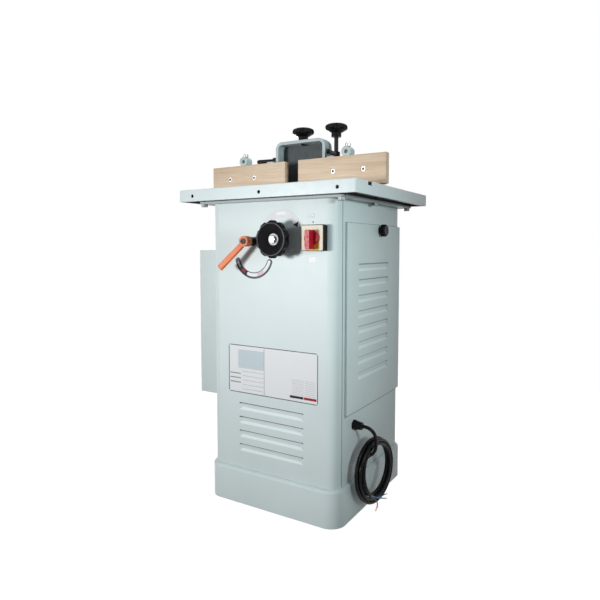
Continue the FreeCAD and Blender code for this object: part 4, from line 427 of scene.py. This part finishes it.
def plastic(name, colour, rough, grain=0.00003, lift=1.5, ring=None):
    """Moulded plastic: fine spark texture, dust caught in it; a wheel may carry a pale ring."""
    look = Look(name)
    dust = look.span(look.noise(scale=70, detail=5), low=0.0, high=0.08, start=0.5, end=0.8)
    pale = tuple(min(1.0, c * lift + DUST_LIFT) for c in colour)
    base = look.mix(dust, look.tones(look.noise(scale=18, detail=3), colour, low=0.9, high=1.1), pale)
    if ring:
        axis, radius, half, face = ring
        _, y, _ = look.axes()
        painted = look.every(look.within(look.from_axis(*axis), radius, half), look.below(y, face))
        base = look.mix(painted, base, WHEEL_RING)
    look.put("Base Color", base)
    look.put("Specular IOR Level", 0.1)
    look.put("Roughness", look.span(look.noise(scale=160, detail=4), rough - 0.06, rough + 0.1))
    look.relief(look.noise(scale=1400, detail=2), grain, edge=0.0007)
    return look.material


def core_look(name, colour, tip, bare):
    """Insulated core, stripped to its copper strands at the tip."""
    look = Look(name)
    offsets = [look.math("SUBTRACT", value, at) for value, at in zip(look.axes(), tip)]
    copper = look.below(look.away(*offsets), bare)
    tone = look.tones(look.noise(scale=150, detail=3), colour, low=0.85, high=1.1)
    strands = look.ramp(look.noise(scale=900, detail=3), (0.3, COPPER_DARK), (0.7, COPPER_LIGHT))
    look.put("Base Color", look.mix(copper, tone, strands))
    look.put("Metallic", look.math("MULTIPLY", copper, 0.9))
    look.put("Roughness", look.span(look.noise(scale=300, detail=3), low=0.28, high=0.42))
    look.relief(look.noise(scale=1400, detail=2), depth=0.00002)
    return look.material


def rubber(name, colour, rough):
    """Smooth black rubber with dust and scuffs."""
    look = Look(name)
    marks = look.noise(scale=120, detail=5, distort=0.5)
    scuff = look.span(marks, low=0.0, high=0.12, start=0.58, end=0.85)
    scuffed = tuple(c * SCUFF_GAIN + SCUFF_LIFT for c in colour)
    look.put("Base Color", look.mix(scuff, colour, scuffed))
    look.put("Specular IOR Level", 0.12)
    look.put("Roughness", look.span(look.noise(scale=60, detail=3), rough - 0.08, rough + 0.12))
    look.relief(look.noise(scale=900, detail=2), depth=0.00002)
    return look.material


def oak(name, shift):
    """Planed oak along X: growth rings, straight fibres and short dark pores."""
    look = Look(name)
    rings = look.noise(scale=9, detail=3, stretch=(0.35, 5, 7), distort=0.8, shift=shift)
    fibre = look.noise(scale=60, detail=4, stretch=(0.25, 18, 18), shift=shift)
    pores = look.noise(scale=110, detail=3, stretch=(0.16, 22, 22), shift=shift)
    wood = look.ramp(rings, *OAK_RINGS)
    wood = look.mix(look.span(fibre, low=0.0, high=0.55, start=0.42, end=0.75), wood, OAK_FIBRE)
    wood = look.mix(look.span(pores, low=0.0, high=0.6, start=0.6, end=0.72), wood, OAK_PORE)
    look.put("Base Color", wood)
    look.put("Roughness", look.span(fibre, low=0.42, high=0.6))
    look.relief(pores, depth=0.00008, edge=0.0009)
    return look.material


def print_look(name, colour):
    """Printed foil: an even ink with a little wear."""
    look = Look(name)
    wear = look.span(look.noise(scale=150, detail=5), low=0.0, high=0.02, start=0.6, end=0.85)
    worn = tuple(min(1.0, WORN_SHARE * c + WORN_LIFT) for c in colour)
    look.put("Base Color", look.mix(wear, colour, worn))
    look.put("Roughness", look.span(look.noise(scale=90, detail=3), low=0.44, high=0.58))
    look.put("Specular IOR Level", 0.2)
    return look.material


def switch_face(name, cream, yellow, middle, radius):
    """Cream plate with a yellow arch behind the knob."""
    look = Look(name)
    x, _, z = look.axes()
    round_part = look.below(look.from_axis(*middle), radius)
    legs = look.every(look.within(x, middle[0], radius), look.below(z, middle[1]))
    tone = look.tones(look.noise(scale=30, detail=3), cream, low=0.95, high=1.02)
    look.put("Base Color", look.mix(look.either(round_part, legs), tone, yellow))
    look.put("Roughness", look.span(look.noise(scale=110, detail=3), low=0.4, high=0.5))
    look.put("Specular IOR Level", 0.25)
    look.relief(look.noise(scale=900, detail=2), depth=0.00002, edge=0.0006)
    return look.material


# Which look each CAD node wears

PAINT = (0.69, 0.775, 0.785)
# The top plate under the table wears the cabinet paint darkened, as painted shade.
TOP_PAINTED_SHADE = 0.7
# The plinth wears the cabinet paint made lighter, as painted light.
PLINTH_PAINTED_LIGHT = 1.09
TABLE_PAINT = (0.64, 0.725, 0.745)
CAST_PAINT = (0.54, 0.63, 0.645)
BLACK = (0.006, 0.006, 0.0066)
ZINC = (0.5, 0.5, 0.49)
WHEEL_AXIS = (0.037, 0.685)
WHEEL_RING_PLACE = (WHEEL_AXIS, 0.0384, 0.0008, -0.2445)
SWITCH_CREAM = (0.76, 0.69, 0.55)
SWITCH_YELLOW = (0.62, 0.36, 0.015)
SWITCH_MIDDLE = (0.133, 0.6865)
SWITCH_ARCH = 0.0185
BOARD_SCREWS = (-0.2049, -0.1217, 0.1217, 0.2049)
BOARD_SCREW_Z = 0.8554
SCREW_SOCKET = 0.0033
NUT_EDGE = 0.0092
NUT_LINE = 0.0008
# The hood's back wall, which gets painted shade.
HOOD_SHADED_BACK = ((0.0, 0.0692), (-0.0262, 0.0016), (0.88, 0.0632))
MATERIALS = {
    "cabinet": enamel("cabinet_enamel", PAINT, edge=0.0022),
    "front": enamel("front_enamel", PAINT, edge=0.0012, gaps=front_gaps),
    "access": enamel("access_enamel", PAINT, edge=0.0012, gaps=access_gaps),
    "shell": enamel("shell_enamel", PAINT, edge=0.0012, gaps=shell_gaps),
    "top": enamel("top_enamel", shade(PAINT, TOP_PAINTED_SHADE)),
    "plinth": enamel("plinth_enamel", shade(PAINT, PLINTH_PAINTED_LIGHT)),
    "table": table_look("table_iron", TABLE_PAINT),
    "ring": steel("ring_steel", (0.5, 0.51, 0.52), rough=0.46),
    "casting": cast_enamel("casting_enamel", CAST_PAINT),
    "hood": cast_enamel("hood_enamel", CAST_PAINT, HOOD_SHADED_BACK),
    "iron": steel("machined_iron", (0.2, 0.2, 0.205), rough=0.45),
    "black": plastic("black_plastic", BLACK, rough=0.36),
    "wheel": plastic("wheel_plastic", BLACK, rough=0.36, ring=WHEEL_RING_PLACE),
    "orange": enamel("orange_coat", (0.74, 0.18, 0.058), rough=0.36, peel=0.00006),
    "red": plastic("red_plastic", (0.42, 0.012, 0.024), rough=0.26, grain=0.00001),
    "face": switch_face("switch_face", SWITCH_CREAM, SWITCH_YELLOW, SWITCH_MIDDLE, SWITCH_ARCH),
    "white": plastic("white_plastic", (0.86, 0.86, 0.85), rough=0.3, grain=0.00001, lift=0.9),
    "steel": steel("bright_steel", (0.6, 0.6, 0.61), rough=0.24),
    "zinc": steel("zinc_steel", ZINC, rough=0.34),
    "screws": screw_look("screw_steel", ZINC, BOARD_SCREWS, BOARD_SCREW_Z, SCREW_SOCKET),
    "nut": nut_look("nut_steel", (0.42, 0.43, 0.44), WHEEL_AXIS, NUT_EDGE, NUT_LINE),
    "dark": steel("dark_steel", (0.025, 0.025, 0.027), rough=0.45),
    "dull": steel("dull_steel", (0.2, 0.2, 0.2), rough=0.45),
    "bronze": steel("bronze", (0.6, 0.4, 0.19), rough=0.3),
    "motor": cast_enamel("motor_enamel", (0.30, 0.33, 0.35)),
    "belt": rubber("belt_rubber", (0.016, 0.016, 0.016), rough=0.6),
    "cord": rubber("cord_rubber", (0.003, 0.003, 0.0034), rough=0.22),
    "left_oak": oak("left_oak", shift=(0.3, 0.1, 0.0)),
    "right_oak": oak("right_oak", shift=(1.7, 0.9, 0.4)),
}
DRESSED = {
    "cabinet": "motor_cover",
    "front": "front_panel",
    "access": "access_panel",
    "shell": "cabinet_shell",
    "top": "top_plate",
    "plinth": "plinth",
    "table": "table",
    "ring": "outer_table_ring inner_table_ring",
    "casting": "left_carrier right_carrier",
    "hood": "fence_casting",
    "iron": "spindle_housing motor_bracket spindle_pulley motor_pulley quill",
    "black": "access_knob infeed_knob hood_knob left_clamp_lever right_clamp_lever "
             "lock_spacer switch_case cord_gland",
    "wheel": "handwheel",
    "orange": "lock_lever",
    "red": "switch_knob",
    "face": "switch_plate",
    "white": "hole_plug",
    "steel": "spindle spindle_collars spindle_nut bearings quill_rack pinion_shaft motor_shaft "
             "lock_bolt lock_nut",
    "zinc": "housing_bolts fence_bolts motor_bolts cover_screws left_boss_screw right_boss_screw",
    "dull": "table_bolts",
    "nut": "handwheel_nut",
    "screws": "left_board_screws right_board_screws",
    "dark": "lock_lever_screw fence_studs",
    "bronze": "shaft_bushes",
    "motor": "motor_body motor_fan_cover",
    "belt": "drive_belt",
    "cord": "cord_lead cord_coil cord_cores",
    "left_oak": "left_board",
    "right_oak": "right_board",
}
for key, names in DRESSED.items():
    for node in names.split():
        mesh = NODES[node].data
        mesh.materials.clear()
        mesh.materials.append(MATERIALS[key])


# Mains lead: one line from the gland through the hanging coil, and its three stripped cores

GLAND = Vector((0.1875, -0.1026, 0.227))
GLAND_REACH = 0.024
EXIT_RUN = 0.013
COIL_MIDDLE = GLAND + Vector((0.0385, 0.0426, -0.121))
COIL_TURN = math.radians(8)
COIL_ACROSS = Vector((math.sin(COIL_TURN), math.cos(COIL_TURN), 0))
COIL_OUT = Vector((math.cos(COIL_TURN), -math.sin(COIL_TURN), 0))
COIL_UP = Vector((0, 0, 1))
COIL_START = math.radians(155)
COIL_RADIUS = 0.082
COIL_PITCH = 0.0092
COIL_TURNS = 4.21
COIL_DIP = 0.016
COIL_RUN_IN = 0.022
ENTRY_TURNS = 0.35
CLIMB_TURNS = 0.5
LEAVE_TURNS = 0.35
TURN_POINTS = 24
CORD_RADIUS = 0.00425
DROP_ROUTE = [(-35, 112, 15.5), (-26, 97, 19), (-20, 76, 18), (-19, 53, 13)]
CORE_ROUTES = [[(-7, -66, 19), (10, -72, 20.5), (26, -78, 21)],
               [(-7, -62, 22), (8, -60, 24.5), (20, -63, 25)],
               [(-16, -71, 20), (-24, -82, 24), (-35, -86, 26)]]
CORE_COLOURS = [(0.02, 0.2, 0.24), (0.03, 0.1, 0.36), (0.17, 0.06, 0.03)]
CORE_RADIUS = 0.0014
CORE_SPREAD = 1.35
CORE_RUN = 0.014
CORE_BARE = 0.009


def hung(across, up, out):
    """A point given in millimetres from the middle of the coil."""
    return COIL_MIDDLE + (COIL_ACROSS * across + COIL_UP * up + COIL_OUT * out) * MM


def eased(share):
    """Goes from 0 to 1 with a slow start and end."""
    share = min(max(share, 0.0), 1.0)
    return share * share * (3 - 2 * share)


def coil_point(turns):
    """A point of the lead, which winds outwards in the layer at the wall, then inwards in the next one."""
    half = COIL_TURNS / 2
    entry = 1 - eased(turns / ENTRY_TURNS)
    climb = eased((turns - half + CLIMB_TURNS / 2) / CLIMB_TURNS) - 0.5
    leave = eased((turns - COIL_TURNS + LEAVE_TURNS) / LEAVE_TURNS)
    radius = COIL_RADIUS - COIL_PITCH * abs(turns - half) - COIL_DIP * entry
    angle = COIL_START + 2 * math.pi * turns
    out = COIL_PITCH * (climb + leave)
    return hung(radius * math.cos(angle) / MM, radius * math.sin(angle) / MM, out / MM)


def coil_way(turns):
    """The direction in which the lead runs at a place of the coil."""
    step = 1e-4
    return (coil_point(turns + step) - coil_point(turns - step)).normalized()


def cable(name, points, radius, material):
    """A round cable on a smooth line that the points steer."""
    data = bpy.data.curves.new(name, "CURVE")
    data.dimensions = "3D"
    spline = data.splines.new("NURBS")
    spline.points.add(len(points) - 1)
    for knot, at in zip(spline.points, points):
        knot.co = (*at, 1)
    spline.order_u = 3
    spline.use_endpoint_u = True
    spline.resolution_u = 8
    data.bevel_depth = radius
    data.bevel_resolution = 5
    data.use_fill_caps = True
    made = bpy.data.objects.new(name, data)
    scene.collection.objects.link(made)
    made.data.materials.append(material)
    return made


exit_point = GLAND + Vector((GLAND_REACH, 0, 0))
lead_points = [exit_point, exit_point + Vector((EXIT_RUN, 0, 0))]
lead_points += [hung(*at) for at in DROP_ROUTE]
lead_points.append(coil_point(0) - coil_way(0) * COIL_RUN_IN)
lead_points += [coil_point(i / TURN_POINTS) for i in range(int(COIL_TURNS * TURN_POINTS))]
tail = coil_point(COIL_TURNS)
tail_way = coil_way(COIL_TURNS)
cord = cable("mains_lead", lead_points + [tail], CORD_RADIUS, MATERIALS["cord"])
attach(cord, "root")
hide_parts("cord_lead", "cord_coil")

tail_side = COIL_OUT.cross(tail_way)
for i, route in enumerate(CORE_ROUTES):
    angle = 2 * math.pi * i / len(CORE_ROUTES)
    aside = COIL_OUT * math.sin(angle) + tail_side * math.cos(angle)
    start = tail + aside * (CORE_RADIUS * CORE_SPREAD)
    points = [start, start + tail_way * CORE_RUN] + [hung(*at) for at in route]
    sheath = core_look("core_%d" % i, CORE_COLOURS[i], points[-1], CORE_BARE)
    core = cable("stripped_core_%d" % i, points, CORE_RADIUS, sheath)
    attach(core, "root")
    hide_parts("cord_cores")


# Printed foils on the front panel, all without words; their lengths are in millimetres

FOIL = 0.15
SINK = 0.02
CORNER_STEPS = 5
BAND_STEPS = 40
CAP_STEPS = 10
PALE = print_look("pale_foil", (0.8, 0.81, 0.83))
INK = print_look("dark_ink", (0.012, 0.012, 0.014))
GREY_INK = print_look("grey_ink", (0.27, 0.28, 0.3))
SLATE_INK = print_look("slate_ink", (0.07, 0.078, 0.11))
FAINT_INK = print_look("faint_ink", (0.6, 0.6, 0.63))
RED_INK = print_look("red_ink", (0.33, 0.008, 0.02))
PINK_INK = print_look("pink_ink", (0.74, 0.5, 0.53))
BLUSH = print_look("blush_ink", (0.75, 0.7, 0.73))
BLUE_GREY = print_look("blue_grey_ink", (0.55, 0.63, 0.68))
ROSE = print_look("rose_foil", (0.755, 0.78, 0.795))
WHITE_INK = print_look("white_ink", (0.93, 0.93, 0.93))


def foil(name, outline, material, layer=0):
    """A thin foil on the front panel or on other foils; its outline runs across and up."""
    back = FRONT + (SINK - layer * FOIL) * MM
    face = FRONT - (layer + 1) * FOIL * MM
    made = bmesh.new()
    rows = [[made.verts.new((x * MM, y, z * MM)) for x, z in outline] for y in (back, face)]
    made.faces.new(rows[0])
    made.faces.new(reversed(rows[1]))
    count = len(outline)
    for i in range(count):
        k = (i + 1) % count
        made.faces.new((rows[0][i], rows[1][i], rows[1][k], rows[0][k]))
    bmesh.ops.triangulate(made, faces=made.faces[:])
    bmesh.ops.recalc_face_normals(made, faces=made.faces[:])
    mesh = bpy.data.meshes.new(name)
    made.to_mesh(mesh)
    made.free()
    piece = bpy.data.objects.new(name, mesh)
    scene.collection.objects.link(piece)
    mesh.materials.append(material)
    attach(piece, "root")


def arc_point(centre, radius, turn):
    turn = math.radians(turn)
    return centre[0] + radius * math.cos(turn), centre[1] + radius * math.sin(turn)


def arc_points(centre, radius, start, end, steps):
    return [arc_point(centre, radius, start + (end - start) * i / steps) for i in range(steps + 1)]


def rounded(x0, x1, z0, z1, radius):
    """A rectangle with round corners."""
    corners = [((x1 - radius, z1 - radius), 0), ((x0 + radius, z1 - radius), 90),
               ((x0 + radius, z0 + radius), 180), ((x1 - radius, z0 + radius), 270)]
    return [at for centre, start in corners
            for at in arc_points(centre, radius, start, start + 90, CORNER_STEPS)]


def rectangle(x0, x1, z0, z1):
    return [(x0, z0), (x1, z0), (x1, z1), (x0, z1)]


def stripe(x0, x1, rise, half):
    return rectangle(x0, x1, rise - half, rise + half)


def band(centre, inner, outer, start, end, cap=False):
    """A bow between two radii, anticlockwise from start to end in degrees, with round ends if capped."""
    far = arc_points(centre, outer, start, end, BAND_STEPS)
    near = arc_points(centre, inner, end, start, BAND_STEPS)
    if not cap:
        return far + near
    middle = (inner + outer) / 2
    half = (outer - inner) / 2
    last = arc_point(centre, middle, end)
    first = arc_point(centre, middle, start)
    tip = arc_points(last, half, end, end + 180, CAP_STEPS)[1:-1]
    foot = arc_points(first, half, start + 180, start + 360, CAP_STEPS)[1:-1]
    return far + tip + near + foot


# Plate on the lower front: a frame, a blank field, rules, tags, rows and two bars

LABEL_LEFT = -131
LABEL_RIGHT = 138.5
LABEL_FOOT = 290
LABEL_HEAD = 415
LABEL_CORNER = 3
FRAME_NEAR = 0.1
FRAME_FAR = 2.1
DIVIDER = (-18.4, -17.6)
FIELD = (-100, -19, 355, 403)
RULE_X = (-86, -20)
RULE_RISES = (347, 335.5, 324, 312.5, 301)
RULE_HALF = 0.35
TAG_X = (-126, -92)
TAG_RISES = (340, 328.5, 317)
TAG_HALF = 1.4
ROW_LEFT_X = (66, 99)
ROW_RIGHT_X = (102, 132)
ROW_COUNT = 9
ROW_TOP = 344
ROW_PITCH = 4.4
ROW_HALF = 0.7
BAR_Z = (299, 305)
DARK_BAR_X = (59, 98)
RED_BAR_X = (99.5, 134.5)

plate = rounded(LABEL_LEFT, LABEL_RIGHT, LABEL_FOOT, LABEL_HEAD, LABEL_CORNER)
foil("label_plate", plate, PALE)
across = (LABEL_LEFT + LABEL_CORNER, LABEL_RIGHT - LABEL_CORNER)
upright = (LABEL_FOOT + LABEL_CORNER, LABEL_HEAD - LABEL_CORNER)
for name, edge in (("top", rectangle(*across, LABEL_HEAD - FRAME_FAR, LABEL_HEAD - FRAME_NEAR)),
                   ("foot", rectangle(*across, LABEL_FOOT + FRAME_NEAR, LABEL_FOOT + FRAME_FAR)),
                   ("left", rectangle(LABEL_LEFT + FRAME_NEAR, LABEL_LEFT + FRAME_FAR, *upright)),
                   ("right", rectangle(LABEL_RIGHT - FRAME_FAR, LABEL_RIGHT - FRAME_NEAR, *upright))):
    foil("label_line_" + name, edge, SLATE_INK, layer=1)
foil("label_divider", rectangle(*DIVIDER, *upright), SLATE_INK, layer=1)
foil("label_field", rectangle(*FIELD), BLUE_GREY, layer=1)
for i, rise in enumerate(RULE_RISES):
    foil("label_rule_%d" % i, stripe(*RULE_X, rise, RULE_HALF), GREY_INK, layer=1)
for i, rise in enumerate(TAG_RISES):
    foil("label_tag_%d" % i, stripe(*TAG_X, rise, TAG_HALF), GREY_INK, layer=1)
for i in range(ROW_COUNT):
    rise = ROW_TOP - ROW_PITCH * i
    for name, span in (("left", ROW_LEFT_X), ("right", ROW_RIGHT_X)):
        row = stripe(*span, rise, ROW_HALF)
        foil("label_row_%s_%d" % (name, i), row, FAINT_INK, layer=1)
foil("label_bar_dark", rectangle(*DARK_BAR_X, *BAR_Z), INK, layer=1)
foil("label_bar_red", rectangle(*RED_BAR_X, *BAR_Z), RED_INK, layer=1)


# Bow above the handwheel: pale rims, ticks and an arrow at each end

LIFT_MIDDLE = (35, 702)
LIFT_IN = 38
LIFT_OUT = 57
LIFT_ENDS = (12, 168)
LIFT_RIM = 1.6
LIFT_RIM_ENDS = (13, 167)
LIFT_FIELD = (44, 50, 76, 107)
TICK_IN = 42
TICK_OUT = 53
TICK_COUNT = 8
TICK_FIRST = 28
TICK_PITCH = 4.4
TICK_HALF = 0.6
ARROW_INSET = 1
ARROWS = (("left", 152, 14), ("right", 28, -14))

foil("lift_bow", band(LIFT_MIDDLE, LIFT_IN, LIFT_OUT, *LIFT_ENDS), ROSE)
for name, near in (("inner", LIFT_IN), ("outer", LIFT_OUT - LIFT_RIM)):
    rim = band(LIFT_MIDDLE, near, near + LIFT_RIM, *LIFT_RIM_ENDS)
    foil("lift_bow_rim_" + name, rim, BLUSH, layer=1)
foil("lift_bow_middle", band(LIFT_MIDDLE, *LIFT_FIELD), WHITE_INK, layer=1)
for i in range(TICK_COUNT):
    for side in (-1, 1):
        turn = 90 + side * (TICK_FIRST + TICK_PITCH * i)
        tick = band(LIFT_MIDDLE, TICK_IN, TICK_OUT, turn - TICK_HALF, turn + TICK_HALF)
        foil("lift_tick_%d_%d" % (i, side), tick, BLUSH, layer=1)
for name, turn, step in ARROWS:
    arrow = [arc_point(LIFT_MIDDLE, LIFT_IN + ARROW_INSET, turn),
             arc_point(LIFT_MIDDLE, LIFT_OUT - ARROW_INSET, turn),
             arc_point(LIFT_MIDDLE, (LIFT_IN + LIFT_OUT) / 2, turn + step)]
    foil("lift_arrow_" + name, arrow, INK, layer=1)


# Bow below the lock lever: a dark end with a slit, a pale end, and a mark on each

LOCK_MIDDLE = (-49, 647)
LOCK_IN = 44
LOCK_OUT = 60
LOCK_ENDS = (196, 340)
DARK_INSET = 1.4
DARK_ENDS = (198, 246)
PALE_IN = LOCK_IN + 2.2
PALE_OUT = LOCK_OUT - 5.4
PALE_ENDS = (250, 340)
MARK_IN = LOCK_IN + 3.2
MARK_OUT = LOCK_OUT - 6.2
MARKS = (("low", 226, 238, RED_INK), ("high", 283, 306, PINK_INK))
SLIT_INSET = 5
SLIT_ENDS = (202, 213)

whole = band(LOCK_MIDDLE, LOCK_IN, LOCK_OUT, *LOCK_ENDS, cap=True)
foil("lock_bow", whole, SLATE_INK)
dark_end = band(LOCK_MIDDLE, LOCK_IN + DARK_INSET, LOCK_OUT - DARK_INSET, *DARK_ENDS)
foil("lock_bow_dark", dark_end, INK, layer=1)
pale_end = band(LOCK_MIDDLE, PALE_IN, PALE_OUT, *PALE_ENDS, cap=True)
foil("lock_bow_field", pale_end, PALE, layer=1)
for name, start, end, ink in MARKS:
    mark = band(LOCK_MIDDLE, MARK_IN, MARK_OUT, start, end)
    foil("lock_mark_" + name, mark, ink, layer=2)
slit = band(LOCK_MIDDLE, LOCK_IN + SLIT_INSET, LOCK_OUT - SLIT_INSET, *SLIT_ENDS, cap=True)
foil("lock_bow_slit", slit, FAINT_INK, layer=2)


# Blank sticker below the switch, and a dark dot of painted shade where the panel has a small hole above it

STICKER = (113, 130.5, 631.6, 643)
STICKER_CORNER = 1.5
HOLE_MIDDLE = (124.4, 725.4)
HOLE_RADIUS = 1.8
HOLE_STEPS = 23
HOLE_END = 345

foil("small_sticker", rounded(*STICKER, STICKER_CORNER), WHITE_INK)
foil("panel_hole_shade", arc_points(HOLE_MIDDLE, HOLE_RADIUS, 0, HOLE_END, HOLE_STEPS), INK)


# Floor, light and camera

FLOOR_SIZE = 40
FLOOR_DROP = 0.0004
FLOOR_TONE = (0.35, 0.35, 0.35)
FLOOR_GLOW = 0.938
AMBIENT = 0.175
BACKDROP = 1.0
CAMERA_PLACE = Vector((0.7673, -1.2875, 0.664))
CAMERA_YAW = math.radians(31.094)
CAMERA_PITCH = math.radians(-3.439)
CAMERA_ROLL = math.radians(0.07)
CLIP_NEAR = 0.05
CLIP_FAR = 100
SENSOR = 36
FOCAL_PIXELS = 538.76
PICTURE = 600
MIDDLE_X = 307.25
MIDDLE_Y = 280.64


def shown_rays(tree):
    """1 for a ray from the camera, off a gloss or through glass, and else 0."""
    path = tree.nodes.new("ShaderNodeLightPath")
    total = path.outputs["Is Camera Ray"]
    for kind in ("Is Glossy Ray", "Is Transmission Ray"):
        either = tree.nodes.new("ShaderNodeMath")
        either.operation = "MAXIMUM"
        tree.links.new(total, either.inputs[0])
        tree.links.new(path.outputs[kind], either.inputs[1])
        total = either.outputs[0]
    return total


def floor_look():
    """Pale floor: near white to the eye, with the object's shadow still falling on it."""
    look = Look("floor")
    look.put("Base Color", FLOOR_TONE)
    look.put("Roughness", 0.9)
    look.put("Specular IOR Level", 0.0)
    look.put("Emission Color", (1.0, 1.0, 1.0))
    look.put("Emission Strength", look.math("MULTIPLY", shown_rays(look.tree), FLOOR_GLOW))
    return look.material


def lamp(name, place, aim, size, power, spread, tint=(1, 1, 1)):
    """A round area lamp that looks at a point; its spread is in degrees."""
    data = bpy.data.lights.new(name, "AREA")
    data.spread = math.radians(spread)
    data.shape = "DISK"
    data.size = size
    data.energy = power
    data.color = tint
    made = bpy.data.objects.new(name, data)
    scene.collection.objects.link(made)
    made.location = place
    made.rotation_euler = (Vector(aim) - Vector(place)).to_track_quat("-Z", "Y").to_euler()


bpy.ops.mesh.primitive_plane_add(size=FLOOR_SIZE, location=(0, 0, -FLOOR_DROP))
floor = bpy.context.object
floor.name = "floor"
floor.data.materials.append(floor_look())

world = bpy.data.worlds.new("studio")
scene.world = world
world.use_nodes = True
sky = world.node_tree
glow = sky.nodes["Background"]
glow.inputs["Color"].default_value = (1, 1, 1, 1)
level = sky.nodes.new("ShaderNodeMapRange")
level.inputs["To Min"].default_value = AMBIENT
level.inputs["To Max"].default_value = BACKDROP
sky.links.new(shown_rays(sky), level.inputs["Value"])
sky.links.new(level.outputs[0], glow.inputs["Strength"])

lamp("key", place=(-1.13, -2.43, 0.63), aim=(0.14, -0.2, 0.68), size=0.5, power=4.7, spread=55.3)
lamp("side", place=(2.19, -0.71, 0.97), aim=(0.19, -0.44, 0.63), size=0.4, power=1.87, spread=41.3,
     tint=(0.86, 1, 1))
lamp("top", place=(0, 0.3, 3.2), aim=(0, 0, 0.8), size=1.0, power=3, spread=60)
lamp("back", place=(-2.0, 2.6, 1.1), aim=(0, 0, 0.5), size=0.6, power=9, spread=70)

lens = bpy.data.cameras.new("camera")
lens.sensor_width = SENSOR
lens.lens = FOCAL_PIXELS / PICTURE * SENSOR
lens.shift_x = (PICTURE / 2 - MIDDLE_X) / PICTURE
lens.shift_y = (MIDDLE_Y - PICTURE / 2) / PICTURE
lens.clip_start = CLIP_NEAR
lens.clip_end = CLIP_FAR
camera = bpy.data.objects.new("camera", lens)
scene.collection.objects.link(camera)
camera.location = CAMERA_PLACE
aimed = Matrix.Rotation(CAMERA_YAW, 3, "Z") @ Matrix.Rotation(math.pi / 2 + CAMERA_PITCH, 3, "X")
camera.rotation_euler = (aimed @ Matrix.Rotation(CAMERA_ROLL, 3, "Z")).to_euler()
scene.camera = camera
